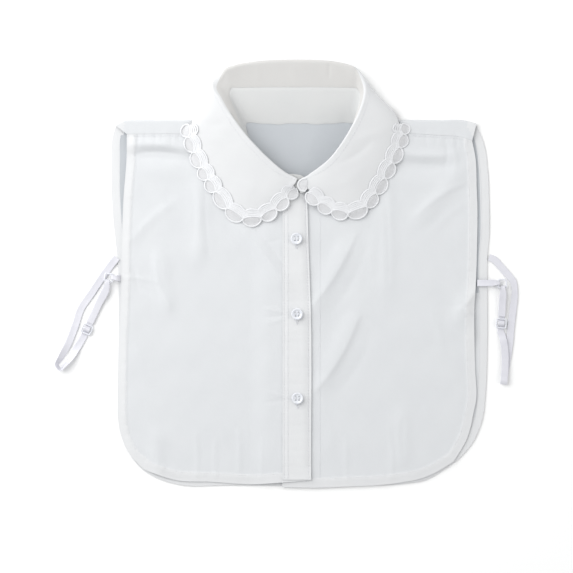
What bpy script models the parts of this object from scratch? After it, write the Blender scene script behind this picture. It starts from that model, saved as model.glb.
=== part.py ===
"""A detachable false collar: a white half blouse with a lace-trimmed collar, laid flat.

The garment lies on its back panel with its fronts on top, as it does on a table.
X runs across it, Y up towards the collar and Z up from the table. The origin is
under the middle of its outline, straps included. Shapes are worked out in
millimetres and become metres in the meshes.
"""
import math

import bmesh
import bpy
import numpy as np

MM = 0.001

# --- driving dimensions, mm ---------------------------------------------------
CLOTH = 1.0            # wall of one layer of cloth
LACE = 1.0             # wall of the organza trim
LAYER_GAP = 0.6        # air between two layers that lie on each other
SEAM_GAP = 0.35        # air between two pieces that are sewn edge to edge
BACK_REST = CLOTH / 2  # height of the middle of the back panel
FRONT_REST = 2.2       # height of the middle of a front, away from its folds
OVERLAP_RISE = CLOTH + LAYER_GAP       # the left front lies on the right one
NECK_SWELL = 1.4       # how far the collar lifts the fronts round the neck
NECK_X, NECK_Y = 10.5, 105.0           # middle of that lift
NECK_SPREAD_X, NECK_SPREAD_Y = 85.0, 75.0
SHOULDER_RISE = 1.2    # the fronts climb to the shoulder seam
SHOULDER_SPREAD = 18.0
SEAM_Y = 139.8         # height up the body of the forward shoulder seam
SHOULDER_Y = 151.7     # where the back starts to turn over the shoulder
SHOULDER_RADIUS = 1.6
YOKE_NECK_LEFT, YOKE_NECK_RIGHT = -55.5, 73.5   # where the shoulders meet the neck
PLACKET_LEFT = -4.0    # buttonhole band: its long edges and its ends
PLACKET_TOP, PLACKET_BOTTOM = 80.5, -205.6
BUTTON_WIDTH, BUTTON_HEIGHT = 11.5, 2.2
BUTTON_HOLE, BUTTON_HOLE_PITCH = 1.7, 3.2
BUTTONS = ((9.9, 35.0), (10.5, -40.2), (10.9, -124.2))
TRIM_INNER, TRIM_OUTER = 7.8, 10.4     # reach of the lace from the leaf's edge
SCALLOP_DEPTH = 4.6
TAPE_WIDTH, TAPE = 7.0, 1.0
RING_SIZE, RING_CORNER, RING_WIRE = 9.6, 1.6, 1.5
SLIDER_LENGTH, SLIDER_WIDTH, SLIDER_BAR = 10.4, 11.0, 1.5

# --- outlines, mm: X, Y -------------------------------------------------------
BACK_LEFT = ((-149.5, -190.2), (-159.0, -176.2), (-166.0, -151.2), (-167.5, -126.2),
             (-167.5, -76.2), (-167.8, -16.2), (-169.0, 15.8), (-171.0, 33.8),
             (-174.5, 74.8), (-174.7, 110.0), (-173.9, 135.8), (-170.5, 147.8))
BACK_RIGHT = ((171.5, -185.7), (185.5, -169.6), (191.9, -156.8), (195.8, -145.2),
              (198.3, -126.2), (200.5, -76.2), (200.8, -26.2), (200.8, 18.8),
              (202.5, 38.8), (202.5, 68.1), (200.9, 106.4), (199.0, 122.3),
              (194.5, 138.3), (189.5, 148.6))
BACK_HEM = ((-149.5, -190.2), (-139.5, -198.7), (-126.5, -205.2), (-109.5, -210.2),
            (-56.5, -211.2), (58.5, -211.7), (113.5, -210.1), (139.0, -205.9),
            (154.3, -197.6), (171.5, -185.7))
LEFT_ARMHOLE = ((-149.1, -188.7), (-155.5, -181.7), (-161.8, -170.8), (-166.0, -159.2),
                (-168.2, -145.2), (-168.5, -126.2), (-167.9, -76.2), (-165.5, -16.2),
                (-164.5, 33.8), (-162.9, 74.8), (-159.7, 119.2), (-159.5, 139.5))
LEFT_HEM = ((-149.1, -188.7), (-142.1, -195.2), (-131.9, -199.5), (-110.2, -206.2),
            (-76.5, -207.8), (-31.5, -210.2), (-5.5, -208.5), (24.5, -206.2))
LEFT_FRONT = ((24.5, -206.2), (24.0, -26.2), (22.5, 13.8), (20.5, 73.8), (20.0, 81.8))
LEFT_SEAM = ((-159.5, 139.5), (-110.0, 139.8), (-54.5, 138.8))
LEFT_NECK = ((-54.5, 138.8), (-48.5, 132.8), (-38.5, 117.8), (-26.5, 104.8),
             (-15.5, 95.3), (-5.5, 88.3), (4.5, 83.8), (12.5, 81.8), (20.0, 81.8))
RIGHT_ARMHOLE = ((167.1, -187.4), (173.5, -177.2), (179.8, -165.7), (184.3, -151.7),
                 (186.8, -139.0), (189.4, -126.2), (188.5, -96.2), (187.7, -66.2),
                 (187.5, -36.2), (189.3, -6.2), (190.5, 33.8), (190.7, 68.1),
                 (190.0, 87.3), (188.8, 116.0), (185.5, 132.8))
RIGHT_HEM = ((-4.5, -213.2), (33.5, -213.6), (58.5, -212.6), (113.5, -208.7),
             (138.5, -203.2), (153.5, -196.0), (167.1, -187.4))
RIGHT_FRONT = ((-4.5, -213.2), (-4.5, -60.0), (-4.5, 82.8))
RIGHT_NECK = ((-4.5, 82.8), (5.5, 81.8), (15.5, 82.3), (23.5, 84.8), (32.5, 89.3),
              (41.5, 95.8), (50.5, 104.8), (58.5, 115.8), (66.5, 130.8), (72.5, 138.8))
RIGHT_SEAM = ((72.5, 138.8), (123.1, 140.0), (151.8, 138.3), (177.3, 135.8),
              (185.5, 132.8))

# Soft folds of the fronts: both ends, half width, height (below 0 is a trough), mm.
FOLDS = (
    # x0, y0, x1, y1, half, height
    (-141.0, 119.0, -98.0, 122.0, 9.0, -0.6),
    (-86.5, 84.0, -86.5, 29.0, 9.0, 1.6),
    (-42.5, 48.0, -6.5, -5.0, 9.0, 1.5),
    (-125.5, 14.0, -119.5, -24.0, 8.0, 1.3),
    (-130.0, -168.0, -128.0, -196.0, 8.0, 1.2),
    (113.5, 109.0, 153.5, 116.0, 9.0, -0.6),
    (168.0, 96.0, 137.5, 59.0, 9.0, 1.4),
    (100.5, 86.0, 100.5, -6.0, 8.0, 1.2),
    (56.0, 20.0, 31.0, -30.0, 9.0, 1.7),
    (64.0, -52.0, 38.0, -106.0, 9.0, 1.8),
    (186.0, -20.0, 176.0, -38.0, 9.0, 1.6),
    (176.0, -38.0, 186.0, -58.0, 9.0, 1.4),
    (116.0, -148.0, 116.0, -180.0, 8.0, 1.0),
)

# Sections across the collar, from the left point round the back to the right
# point. Each gives a point on the neckline, on the seam at the top of the stand,
# on the roll line and on the leaf's edge, the height of the leaf halfway from
# roll to edge, and the side the leaf falls to: -90 over the stand, 0 beside it,
# 90 under it.
COLLAR = (
    # neck x, y, z        stand top x, y, z     roll x, y, z          edge x, y, z
    # half, fall
    (14.0, 82.3, 7.7, 12.3, 92.0, 8.9, 10.7, 94.6, 10.5, 6.5, 87.3, 10.7, 11.7, -90),
    (4.5, 84.8, 7.5, 6.0, 94.4, 9.0, 6.5, 97.0, 10.9, -2.5, 77.3, 9.9, 11.6, -90),
    (-5.5, 89.3, 6.6, -2.0, 97.8, 9.3, 0.0, 100.2, 12.2, -18.5, 62.8, 8.0, 11.7, -90),
    (-16.0, 96.3, 5.9, -10.5, 103.8, 10.2, -8.0, 106.0, 13.8, -35.5, 57.2, 7.0, 12.0, -85),
    (-27.0, 105.8, 5.6, -20.5, 112.8, 11.0, -18.0, 114.8, 15.2, -50.5, 61.8, 6.6, 12.5, -80),
    (-39.0, 118.8, 5.5, -32.0, 124.8, 12.0, -30.0, 126.8, 16.6, -66.5, 81.3, 6.4, 13.2, -75),
    (-48.5, 132.8, 5.4, -43.5, 140.3, 12.6, -43.0, 141.5, 17.6, -80.5, 103.8, 6.4, 13.8, -65),
    (-52.0, 142.8, 4.7, -50.0, 159.8, 12.2, -55.0, 158.8, 18.0, -91.0, 126.8, 6.7, 14.6, -50),
    (-52.9, 149.2, 3.6, -55.0, 171.8, 11.0, -64.0, 174.8, 17.0, -95.5, 143.4, 7.0, 14.0, -30),
    (-50.5, 151.2, 2.6, -57.0, 180.8, 8.9, -70.0, 189.8, 14.0, -87.5, 163.5, 5.0, 9.7, 0),
    (-45.5, 151.0, 2.3, -55.5, 184.8, 7.6, -64.5, 201.2, 11.6, -80.0, 164.0, 2.75, 4.7, 50),
    (-37.5, 150.8, 2.2, -47.5, 185.8, 6.8, -51.5, 207.8, 10.2, -62.0, 164.0, 2.45, 3.6, 80),
    (-24.5, 150.6, 2.2, -30.5, 186.2, 6.5, -34.5, 211.0, 9.4, -40.0, 164.0, 2.45, 3.3, 90),
    (9.5, 150.4, 2.2, 10.5, 186.4, 6.4, 10.5, 213.3, 9.0, 9.5, 164.0, 2.45, 3.3, 90),
    (43.5, 150.6, 2.2, 48.5, 186.2, 6.5, 47.5, 211.4, 9.4, 56.0, 164.0, 2.45, 3.3, 90),
    (54.5, 150.8, 2.2, 62.5, 185.8, 6.8, 62.0, 208.2, 10.2, 79.0, 164.0, 2.45, 3.6, 80),
    (62.5, 151.0, 2.3, 70.0, 185.0, 7.6, 69.5, 203.8, 11.6, 97.0, 164.0, 2.5, 4.6, 58),
    (67.7, 151.2, 2.6, 73.0, 181.0, 8.9, 74.5, 193.8, 14.0, 105.0, 163.5, 5.0, 9.5, 15),
    (69.8, 149.2, 3.6, 73.0, 171.8, 11.0, 76.9, 178.8, 16.4, 113.5, 144.4, 7.0, 14.0, -30),
    (69.5, 142.8, 4.7, 69.5, 159.8, 12.2, 72.5, 162.8, 18.0, 110.0, 128.8, 6.8, 14.6, -50),
    (66.0, 131.8, 5.4, 62.0, 137.8, 12.6, 62.5, 142.3, 17.6, 100.0, 106.8, 6.5, 13.8, -65),
    (58.5, 116.3, 5.5, 53.0, 122.8, 12.0, 51.5, 125.2, 16.6, 87.5, 83.8, 6.5, 13.2, -75),
    (49.5, 104.8, 5.6, 44.0, 111.8, 11.0, 42.1, 113.8, 15.2, 72.5, 65.8, 6.7, 12.5, -80),
    (40.5, 96.2, 5.9, 35.0, 104.2, 10.2, 33.1, 106.3, 13.8, 55.5, 63.4, 7.1, 12.0, -85),
    (31.5, 89.6, 6.4, 27.0, 98.8, 9.3, 25.5, 101.0, 12.2, 37.5, 70.8, 8.0, 11.7, -90),
    (23.0, 84.8, 7.5, 20.5, 94.4, 9.0, 19.5, 96.9, 10.9, 25.5, 80.8, 9.9, 11.6, -90),
    (17.4, 82.6, 7.7, 15.6, 92.0, 8.9, 14.7, 94.6, 10.5, 17.9, 88.4, 10.7, 11.7, -90),
)
NECK, TOP, ROLL, EDGE = slice(0, 3), slice(3, 6), slice(6, 9), slice(9, 12)
HALF, FALL = 12, 13
ROLL_RADII = ((-90, 1.1), (0, 2.6), (90, 2.2))     # fall, radius of the roll
ROLL_SQUARE = 0.7                      # how far the roll turns square to its own line
SECTION_CELLS = 2                      # cells round the neck between two sections
STAND_BOW = 0.9                        # the stand bows up between its two seams

# Where the scallops of the trim meet, beside the leaf's edge: x, y
LEFT_CUSPS = (
    (5.5, 92.8), (0.1, 76.8), (-11.0, 64.8), (-25.0, 54.0), (-44.0, 52.5), (-60.0, 64.8),
    (-71.2, 81.8), (-78.7, 94.3), (-85.5, 105.8), (-94.0, 121.1), (-100.5, 135.8),
    (-103.0, 150.8),
)
RIGHT_CUSPS = (
    (117.5, 149.8), (117.5, 139.3), (112.7, 126.3), (105.0, 110.8), (96.0, 96.3), (86.7, 81.8),
    (81.0, 65.5), (61.5, 56.5), (45.5, 61.8), (33.0, 70.8), (21.5, 81.8), (19.6, 86.6),
)
BACK_SCALLOPS = 13     # at the back, between the two
TRIM_PART = 0.006      # share of the way round between two stretches of the trim
SCALLOP_CELLS = 6
TRIM_DROOP = 0.26      # share of the leaf's slope that the trim keeps past the edge

# Side straps. The run is the tape's centre line from the back panel to the slider:
# x, y, z, bank in degrees, share of the width. It then goes through the slider,
# round the ring's bar and back to end on itself beside the slider.
LEFT_RUN = (
    (-169.5, 16.2, 1.85, 0, 1.0), (-172.2, 12.8, 1.85, 0, 1.0), (-174.9, 9.4, 1.3, 0, 1.0),
    (-178.0, 5.2, 0.65, 0, 1.0), (-184.6, -3.9, 0.6, 0, 1.0), (-195.1, -19.8, 0.6, 0, 1.0),
    (-205.4, -35.0, 0.6, 0, 1.0), (-211.1, -51.9, 0.6, 0, 1.0), (-218.9, -71.6, 1.4, 12, 1.0),
    (-225.6, -83.6, 2.9, 38, 1.0), (-229.3, -91.6, 3.7, 62, 1.0),
    (-226.0, -95.6, 3.8, 68, 1.0), (-220.6, -91.0, 3.7, 60, 1.0),
    (-213.6, -81.4, 2.2, 25, 1.0), (-208.6, -72.7, 1.0, 4, 1.0), (-205.8, -68.0, 0.8, 0, 1.0),
)
RIGHT_RUN = (
    (202.4, 16.6, 0.6, 0, 0.95), (207.0, 14.6, 0.6, 0, 1.0), (214.1, 7.3, 0.6, 0, 1.0),
    (221.3, -0.9, 0.6, 0, 1.0), (226.4, -7.0, 0.8, 0, 0.9), (228.0, -14.0, 0.8, 0, 0.85),
    (228.0, -24.0, 0.7, 0, 0.9), (226.4, -36.0, 0.6, 0, 1.0), (224.6, -52.0, 0.6, 0, 1.0),
    (222.8, -72.0, 0.6, 0, 1.0), (220.0, -90.0, 0.6, 0, 1.0), (217.8, -104.0, 0.7, 0, 1.0),
    (217.2, -108.6, 1.2, 0, 1.0), (217.0, -110.4, 2.1, 0, 1.0), (217.2, -108.6, 3.1, 0, 1.0),
    (217.8, -102.0, 2.9, 0, 1.0), (218.6, -88.0, 2.3, 0, 1.0), (217.8, -73.0, 2.3, 0, 1.0),
    (216.6, -66.0, 2.1, 0, 1.0), (215.2, -60.8, 1.0, 0, 1.0),
)
# Each strap's run, the middles of its slider and its ring, the ring's turn in
# degrees and where its tab is sewn to the front
STRAPS = (
    # name, run, slider, ring, turn, tab
    ("left", LEFT_RUN, (-199.4, -55.4, 2.5), (-177.4, -3.9, 3.9), -8.0, (-166.0, -4.3, 2.4)),
    ("right", RIGHT_RUN, (214.6, -49.6, 2.5), (215.6, -9.8, 2.7), 0.0, (190.6, -9.2, 2.4)),
)
# Through the slider: along the tape, above the slider's middle, share of the width
SLIDER_PASS = ((-8.0, -1.7, 0.95), (-4.6, -1.7, 0.9), (-3.2, -1.15, 0.88), (-2.3, 0.05, 0.88),
               (-1.3, 1.15, 0.88), (0.0, 1.6, 0.88), (1.3, 1.15, 0.88), (2.3, 0.05, 0.88),
               (3.2, -1.15, 0.88), (4.6, -1.7, 0.9), (8.0, -1.7, 0.95))
BAR_TURN = 1.85        # radius of the tape's turn round a ring's bar
BAR_WIDTH = 0.6        # share of the tape's width inside the ring
BAR_SHIFT = 0.8        # strap and tab keep this far from the corner between them


# --- curves and surfaces ------------------------------------------------------
def spline(points, at):
    """Points on a Catmull-Rom curve through rows of numbers, at shares 0 to 1 of
    its length (measured along the straight lines between the rows in X, Y, Z)."""
    rows = np.array(points, float)
    steps = np.linalg.norm(np.diff(rows[:, :3], axis=0), axis=1)
    knots = np.concatenate(([0.0], np.cumsum(steps))) / steps.sum()
    return spline_at(rows, knots, at)


def spline_at(rows, knots, at):
    """Rows of numbers carried smoothly from knot to knot (cubic Hermite, with the
    slope at a knot weighed from the slopes on both its sides)."""
    at = np.asarray(at, float)
    gaps = np.diff(knots)[:, None]
    slopes = np.diff(rows, axis=0) / gaps
    tangents = np.empty_like(rows)
    tangents[0], tangents[-1] = slopes[0], slopes[-1]
    tangents[1:-1] = ((slopes[:-1] * gaps[1:] + slopes[1:] * gaps[:-1])
                      / (gaps[:-1] + gaps[1:]))
    i = np.clip(np.searchsorted(knots, at, side="right") - 1, 0, len(knots) - 2)
    h = gaps[i]
    t = ((at - knots[i]) / h[:, 0])[:, None]
    return ((1 + 2 * t) * (1 - t) ** 2 * rows[i] + t * (1 - t) ** 2 * h * tangents[i]
            + t * t * (3 - 2 * t) * rows[i + 1] + t * t * (t - 1) * h * tangents[i + 1])


def shares(cells):
    """Even shares from 0 to 1 for a number of cells."""
    return np.linspace(0.0, 1.0, cells + 1)


def joined(first, first_cells, second, second_cells):
    """Points along two outlines that meet, with a chosen number of cells on each."""
    a = spline(first, shares(first_cells))
    b = spline(second, shares(second_cells))
    return np.vstack((a, b[1:]))


def coons(left, right, bottom, top):
    """Plan points between four outlines that meet at the corners (a Coons patch).
    left and right run up, bottom and top run to the right; rows run up."""
    rows, columns = len(left), len(bottom)
    v = np.linspace(0.0, 1.0, rows)[:, None, None]
    u = np.linspace(0.0, 1.0, columns)[None, :, None]
    across = (1 - u) * left[:, None, :] + u * right[:, None, :]
    along = (1 - v) * bottom[None, :, :] + v * top[None, :, :]
    corners = ((1 - u) * (1 - v) * bottom[0] + u * (1 - v) * bottom[-1]
               + (1 - u) * v * top[0] + u * v * top[-1])
    return across + along - corners


def smoothstep(value, low, high):
    """0 below low, 1 above high and a soft S between."""
    t = np.clip((value - low) / (high - low), 0.0, 1.0)
    return t * t * (3 - 2 * t)


def fold_height(x, y):
    """Height of the soft folds: a bell across each fold's line, faded at its ends."""
    height = np.zeros_like(x)
    for x0, y0, x1, y1, half, rise in FOLDS:
        length = math.hypot(x1 - x0, y1 - y0)
        ux, uy = (x1 - x0) / length, (y1 - y0) / length
        along = (x - x0) * ux + (y - y0) * uy
        across = (y - y0) * ux - (x - x0) * uy
        beyond = np.maximum(0.0, np.abs(along - length / 2) - length / 2)
        height += rise * np.exp(-(across / half) ** 2 - (beyond / (1.6 * half)) ** 2)
    return height


def right_front_height(x, y):
    """Height of the middle of the right front: its rest, the lift round the neck,
    the climb to the shoulder seam and the folds."""
    swell = np.exp(-((x - NECK_X) / NECK_SPREAD_X) ** 2 - ((y - NECK_Y) / NECK_SPREAD_Y) ** 2)
    climb = np.exp(-((y - SEAM_Y) / SHOULDER_SPREAD) ** 2)
    return FRONT_REST + NECK_SWELL * swell + SHOULDER_RISE * climb + fold_height(x, y)


def left_front_height(x, y):
    """The same height, lifted where the left front lies on the right one."""
    return right_front_height(x, y) + OVERLAP_RISE * smoothstep(x, -38.0, -16.0)


# --- meshes -------------------------------------------------------------------
def new_object(name, mesh, material):
    """Puts a mesh in the scene under its node name."""
    obj = bpy.data.objects.new(name, mesh)
    obj.data.materials.append(material)
    bpy.data.collections["false_collar"].objects.link(obj)
    return obj


def sheet_object(name, grid, material, wall, keep=None):
    """A grid of points, rows by columns, as an open surface with a wall on it."""
    rows, columns = grid.shape[:2]
    mesh = bmesh.new()
    verts = [mesh.verts.new(point) for point in (grid.reshape(-1, 3) * MM).tolist()]
    for i in range(rows - 1):
        for j in range(columns - 1):
            if keep is None or keep[i, j]:
                a = i * columns + j
                mesh.faces.new((verts[a], verts[a + 1], verts[a + columns + 1],
                                verts[a + columns]))
    loose = [vert for vert in mesh.verts if not vert.link_faces]
    bmesh.ops.delete(mesh, geom=loose, context="VERTS")
    data = bpy.data.meshes.new(name)
    mesh.to_mesh(data)
    mesh.free()
    data.shade_smooth()
    obj = new_object(name, data, material)
    solidify = obj.modifiers.new("wall", "SOLIDIFY")
    solidify.thickness = wall * MM
    solidify.offset = 0.0
    solidify.use_even_offset = True
    return obj


def with_height(plan, height):
    """Adds a height to plan points."""
    return np.dstack((plan, height(plan[..., 0], plan[..., 1])))


# --- body panels --------------------------------------------------------------
def make_back(cloth):
    """The back panel: flat on the table up to the shoulders, which turn over and
    come forward to the shoulder seams. Between them it ends at the neckline."""
    shoulder_cells, neck_cells, body_cells = 7, 6, 18
    left = spline(BACK_LEFT, shares(body_cells))
    right = spline(BACK_RIGHT, shares(body_cells))
    left_shoulder = ((-170.5, 147.8), (-162.0, 151.5), (-150.0, SHOULDER_Y),
                     (YOKE_NECK_LEFT, SHOULDER_Y))
    neckline = ((YOKE_NECK_LEFT, SHOULDER_Y), (-30.0, 150.8), (9.5, 150.2), (45.0, 150.8),
                (YOKE_NECK_RIGHT, SHOULDER_Y))
    right_shoulder = ((YOKE_NECK_RIGHT, SHOULDER_Y), (150.0, SHOULDER_Y), (178.0, 151.3),
                      (189.5, 148.6))
    top = np.vstack((joined(left_shoulder, shoulder_cells, neckline, neck_cells),
                     spline(right_shoulder, shares(shoulder_cells))[1:]))
    hem = spline(BACK_HEM, shares(2 * shoulder_cells + neck_cells))
    flat = with_height(coons(left, right, hem, top), lambda x, y: np.full_like(x, BACK_REST))
    # the turn over the shoulder, then the flap down to the seam
    edge = flat[-1]
    turned = []
    for angle in (45, 90, 135, 180):
        a = math.radians(angle)
        turned.append(edge + (0.0, SHOULDER_RADIUS * math.sin(a),
                              SHOULDER_RADIUS * (1 - math.cos(a))))
    seam_left = spline(LEFT_SEAM, shares(shoulder_cells))
    seam_right = spline(RIGHT_SEAM, shares(shoulder_cells))
    columns = len(edge)
    seam = np.zeros((columns, 3))
    seam[:, 2] = 1.0
    seam[:shoulder_cells + 1, :2] = seam_left + (0.0, SEAM_GAP)
    seam[-shoulder_cells - 1:, :2] = seam_right + (0.0, SEAM_GAP)
    seam[:, 2] = right_front_height(seam[:, 0], seam[:, 1])
    for share in (0.34, 0.67, 1.0):
        turned.append(turned[3] * (1 - share) + seam * share)
    grid = np.concatenate((flat, np.array(turned)))
    keep = np.ones((grid.shape[0] - 1, columns - 1), bool)
    keep[body_cells:, shoulder_cells:shoulder_cells + neck_cells] = False
    return sheet_object("back_panel", grid, cloth, CLOTH, keep)


def make_fronts(cloth):
    """The two fronts: the left one, with the buttonhole band, lies on the right."""
    seam_cells, neck_cells, body_cells = 7, 7, 24
    left = coons(spline(LEFT_ARMHOLE, shares(body_cells)), spline(LEFT_FRONT, shares(body_cells)),
                 spline(LEFT_HEM, shares(seam_cells + neck_cells)),
                 joined(LEFT_SEAM, seam_cells, LEFT_NECK, neck_cells))
    sheet_object("front_left", with_height(left, left_front_height), cloth, CLOTH)
    right = coons(spline(RIGHT_FRONT, shares(body_cells)),
                  spline(RIGHT_ARMHOLE, shares(body_cells)),
                  spline(RIGHT_HEM, shares(seam_cells + neck_cells)),
                  joined(RIGHT_NECK, neck_cells, RIGHT_SEAM, seam_cells))
    sheet_object("front_right", with_height(right, right_front_height), cloth, CLOTH)


def placket_height(x, y):
    """The band lies on the left front, a wall and a gap higher."""
    return left_front_height(x, y) + CLOTH + LAYER_GAP


def make_placket(cloth):
    """The buttonhole band down the left front's edge."""
    cells_along, cells_across = 26, 3
    right = spline(LEFT_FRONT, shares(cells_along))
    right[0, 1], right[-1, 1] = PLACKET_BOTTOM, PLACKET_TOP
    left = np.column_stack((np.full(cells_along + 1, PLACKET_LEFT), right[:, 1]))
    share = shares(cells_across)[None, :, None]
    plan = left[:, None, :] * (1 - share) + right[:, None, :] * share
    sheet_object("placket", with_height(plan, placket_height), cloth, CLOTH)


# --- collar -------------------------------------------------------------------
def collar_sections():
    """The collar's table as rows, and the share of the way round at each of them."""
    rows = np.array(COLLAR, float)
    reach = (np.linalg.norm(np.diff(rows[:, 6:9], axis=0), axis=1)
             + np.linalg.norm(np.diff(rows[:, 9:12], axis=0), axis=1)) / 2
    knots = np.concatenate(([0.0], np.cumsum(reach))) / reach.sum()
    return rows, knots


def unit(vectors):
    """Each row scaled to a length of one."""
    return vectors / np.linalg.norm(vectors, axis=-1)[..., None]


def leaf_points(rows, at):
    """Points across the leaf at each row. From -2 to -1 they run straight from the
    stand's top to the roll, from -1 to 0 round the roll's half circle, and from 0
    to 1 down to the edge, on a cubic curve lifted to its height at the middle."""
    top, roll, edge = rows[:, TOP], rows[:, ROLL], rows[:, EDGE]
    fall = np.radians(rows[:, FALL])[:, None]
    inward = np.column_stack((NECK_X - roll[:, 0], 150.0 - roll[:, 1], np.zeros(len(rows))))
    side = np.cos(fall) * unit(inward) + np.sin(fall) * np.array((0.0, 0.0, 1.0))
    middle = (top + edge) / 2 - roll
    middle = unit(middle - (middle * side).sum(1)[:, None] * side)
    # turned part of the way square to the roll line, which bends round the corners
    line = unit(np.gradient(roll, axis=0))
    square = middle - ROLL_SQUARE * (middle * line).sum(1)[:, None] * line
    side = side - ROLL_SQUARE * (side * line).sum(1)[:, None] * line
    leaves = middle
    middle = unit(square)
    side = unit(side - (side * middle).sum(1)[:, None] * middle)
    radius = np.interp(rows[:, FALL], *zip(*ROLL_RADII))[:, None]
    centre = roll + radius * middle
    outer = centre - radius * side
    reach = np.linalg.norm(edge - outer, axis=1)[:, None] / 3
    bend_out = outer + reach * leaves
    bend_in = edge - reach * unit(edge - outer)
    half_height = (outer + 3 * bend_out + 3 * bend_in + edge)[:, 2] / 8
    lift = rows[:, HALF] - half_height
    columns = []
    for share in at:
        if np.all(share < -1):
            point = top + (share + 2) * (centre + radius * side - top)
        elif np.all(share < 0):
            angle = math.pi * (share + 1)
            point = centre + radius * (math.cos(angle) * side - math.sin(angle) * middle)
        else:
            t = np.broadcast_to(share, (len(rows),))[:, None]
            point = ((1 - t) ** 3 * outer + 3 * t * (1 - t) ** 2 * bend_out
                     + 3 * t * t * (1 - t) * bend_in + t ** 3 * edge)
            point = point + np.column_stack((0 * t, 0 * t, 4 * t * (1 - t) * lift[:, None]))
        columns.append(point)
    return np.stack(columns, axis=1)


def make_collar(cloth):
    """The stand, sewn up from the neckline, and the leaf that rolls over it."""
    table, knots = collar_sections()
    round_neck = np.interp(shares(SECTION_CELLS * (len(table) - 1)), shares(len(table) - 1), knots)
    rows = spline_at(table, knots, round_neck)
    across = (-2.0, -1.5, -1.0, -0.75, -0.5, -0.25, 0.0, 0.2, 0.4, 0.6, 0.8, 1.0)
    leaf = leaf_points(rows, across)
    sheet_object("collar_leaf", leaf, cloth, CLOTH)
    # the stand's top edge stops short of the leaf, square to the seam between them
    neck, top = rows[:, NECK], rows[:, TOP]
    seam = unit(np.gradient(top, axis=0))
    down = (neck - top) - ((neck - top) * seam).sum(1)[:, None] * seam
    top = top + unit(down) * (CLOTH + SEAM_GAP)
    share = shares(3)[None, :, None]
    stand = neck[:, None, :] * (1 - share) + top[:, None, :] * share
    stand[:, :, 2] += STAND_BOW * np.sin(math.pi * shares(3))
    sheet_object("collar_stand", stand[:, ::-1], cloth, CLOTH)


def scallop_shares():
    """The shares of the way round the neck at which each stretch of trim has its
    cusps. At the front they lie where the leaf's edge is nearest to the table's."""
    table, knots = collar_sections()
    at = shares(800)
    edge = spline_at(table, knots, at)[:, EDGE][:, :2]
    stretches = {}
    for name, cusps in (("lace_left", LEFT_CUSPS), ("lace_right", RIGHT_CUSPS)):
        away = np.linalg.norm(edge[None] - np.array(cusps)[:, None], axis=2)
        stretches[name] = at[away.argmin(axis=1)]
    stretches["lace_back"] = np.linspace(stretches["lace_left"][-1] + TRIM_PART,
                                         stretches["lace_right"][0] - TRIM_PART,
                                         BACK_SCALLOPS + 1)
    return stretches


def make_trim(organza):
    """The double-edged trim: it lies on the leaf's edge, half on the leaf and half
    past it, and both its edges are scalloped."""
    table, knots = collar_sections()
    for name, cusps in scallop_shares().items():
        cells = SCALLOP_CELLS if name != "lace_back" else SCALLOP_CELLS - 2
        step = shares(cells * (len(cusps) - 1)) * (len(cusps) - 1)
        rows = spline_at(table, knots, np.interp(step, np.arange(len(cusps)), cusps))
        near = leaf_points(rows, (0.0, 0.70, 0.86, 1.0))
        edge = near[:, 3]
        length = np.linalg.norm(edge - near[:, 0], axis=1)
        out = unit(edge - near[:, 2])
        round_neck = np.gradient(edge, axis=0)
        off = unit(np.cross(round_neck, out))
        bulge = np.abs(np.sin(math.pi * step)) ** 0.6
        inner = TRIM_INNER - SCALLOP_DEPTH * (1 - bulge)
        outer = TRIM_OUTER - SCALLOP_DEPTH * (1 - bulge)
        lift = off * (CLOTH / 2 + LAYER_GAP + LACE / 2)
        # past the edge the trim lies flatter than the leaf
        past = unit(out * (1.0, 1.0, TRIM_DROOP))
        lines = []
        for reach in (-inner, np.full_like(inner, -2.0)):
            on_leaf = leaf_points(rows, (1 + reach / length,))[:, 0]
            lines.append(on_leaf + lift)
        for reach in (np.full_like(outer, 3.5), outer):
            lines.append(edge + lift + past * reach[:, None])
        sheet_object(name, np.stack(lines, axis=1), organza, LACE)


# --- buttons ------------------------------------------------------------------
def make_button(index, x, y, plastic):
    """A four-hole shirt button: a turned disc with a raised rim and a dished face."""
    radius, height = BUTTON_WIDTH / 2, BUTTON_HEIGHT
    profile = ((0.0, 0.62 * height), (0.58 * radius, 0.62 * height), (0.78 * radius, height),
               (radius, 0.66 * height), (0.84 * radius, 0.0), (0.0, 0.0))
    mesh = bpy.data.meshes.new(f"button_{index}")
    mesh.from_pydata([(r * MM, 0.0, z * MM) for r, z in profile],
                     [(k, k + 1) for k in range(len(profile) - 1)], [])
    button = new_object(f"button_{index}", mesh, plastic)
    turn = button.modifiers.new("turn", "SCREW")
    turn.axis = "Z"
    turn.steps = turn.render_steps = 18
    turn.use_merge_vertices = True
    turn.merge_threshold = 0.00001
    spread = np.linspace(-radius, radius, 5)
    around = placket_height(*np.meshgrid(x + spread, y + spread))
    button.location = (x * MM, y * MM, (around.max() + CLOTH / 2 + LAYER_GAP) * MM)
    for k in range(4):
        across = (BUTTON_HOLE_PITCH / 2) * (1 if k % 2 else -1)
        along = (BUTTON_HOLE_PITCH / 2) * (1 if k > 1 else -1)
        mesh = bpy.data.meshes.new(f"hole_{index}_{k}")
        tool = bmesh.new()
        bmesh.ops.create_cone(tool, cap_ends=True, segments=8, radius1=BUTTON_HOLE * MM / 2,
                              radius2=BUTTON_HOLE * MM / 2, depth=3 * height * MM)
        tool.to_mesh(mesh)
        tool.free()
        hole = bpy.data.objects.new(f"hole_{index}_{k}", mesh)
        bpy.data.collections["cutters"].objects.link(hole)
        hole.location = button.location
        hole.location.x += across * MM
        hole.location.y += along * MM
        hole.hide_render = True
        hole.display_type = "WIRE"
        cut = button.modifiers.new(f"hole_{k}", "BOOLEAN")
        cut.operation = "DIFFERENCE"
        cut.object = hole


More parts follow.
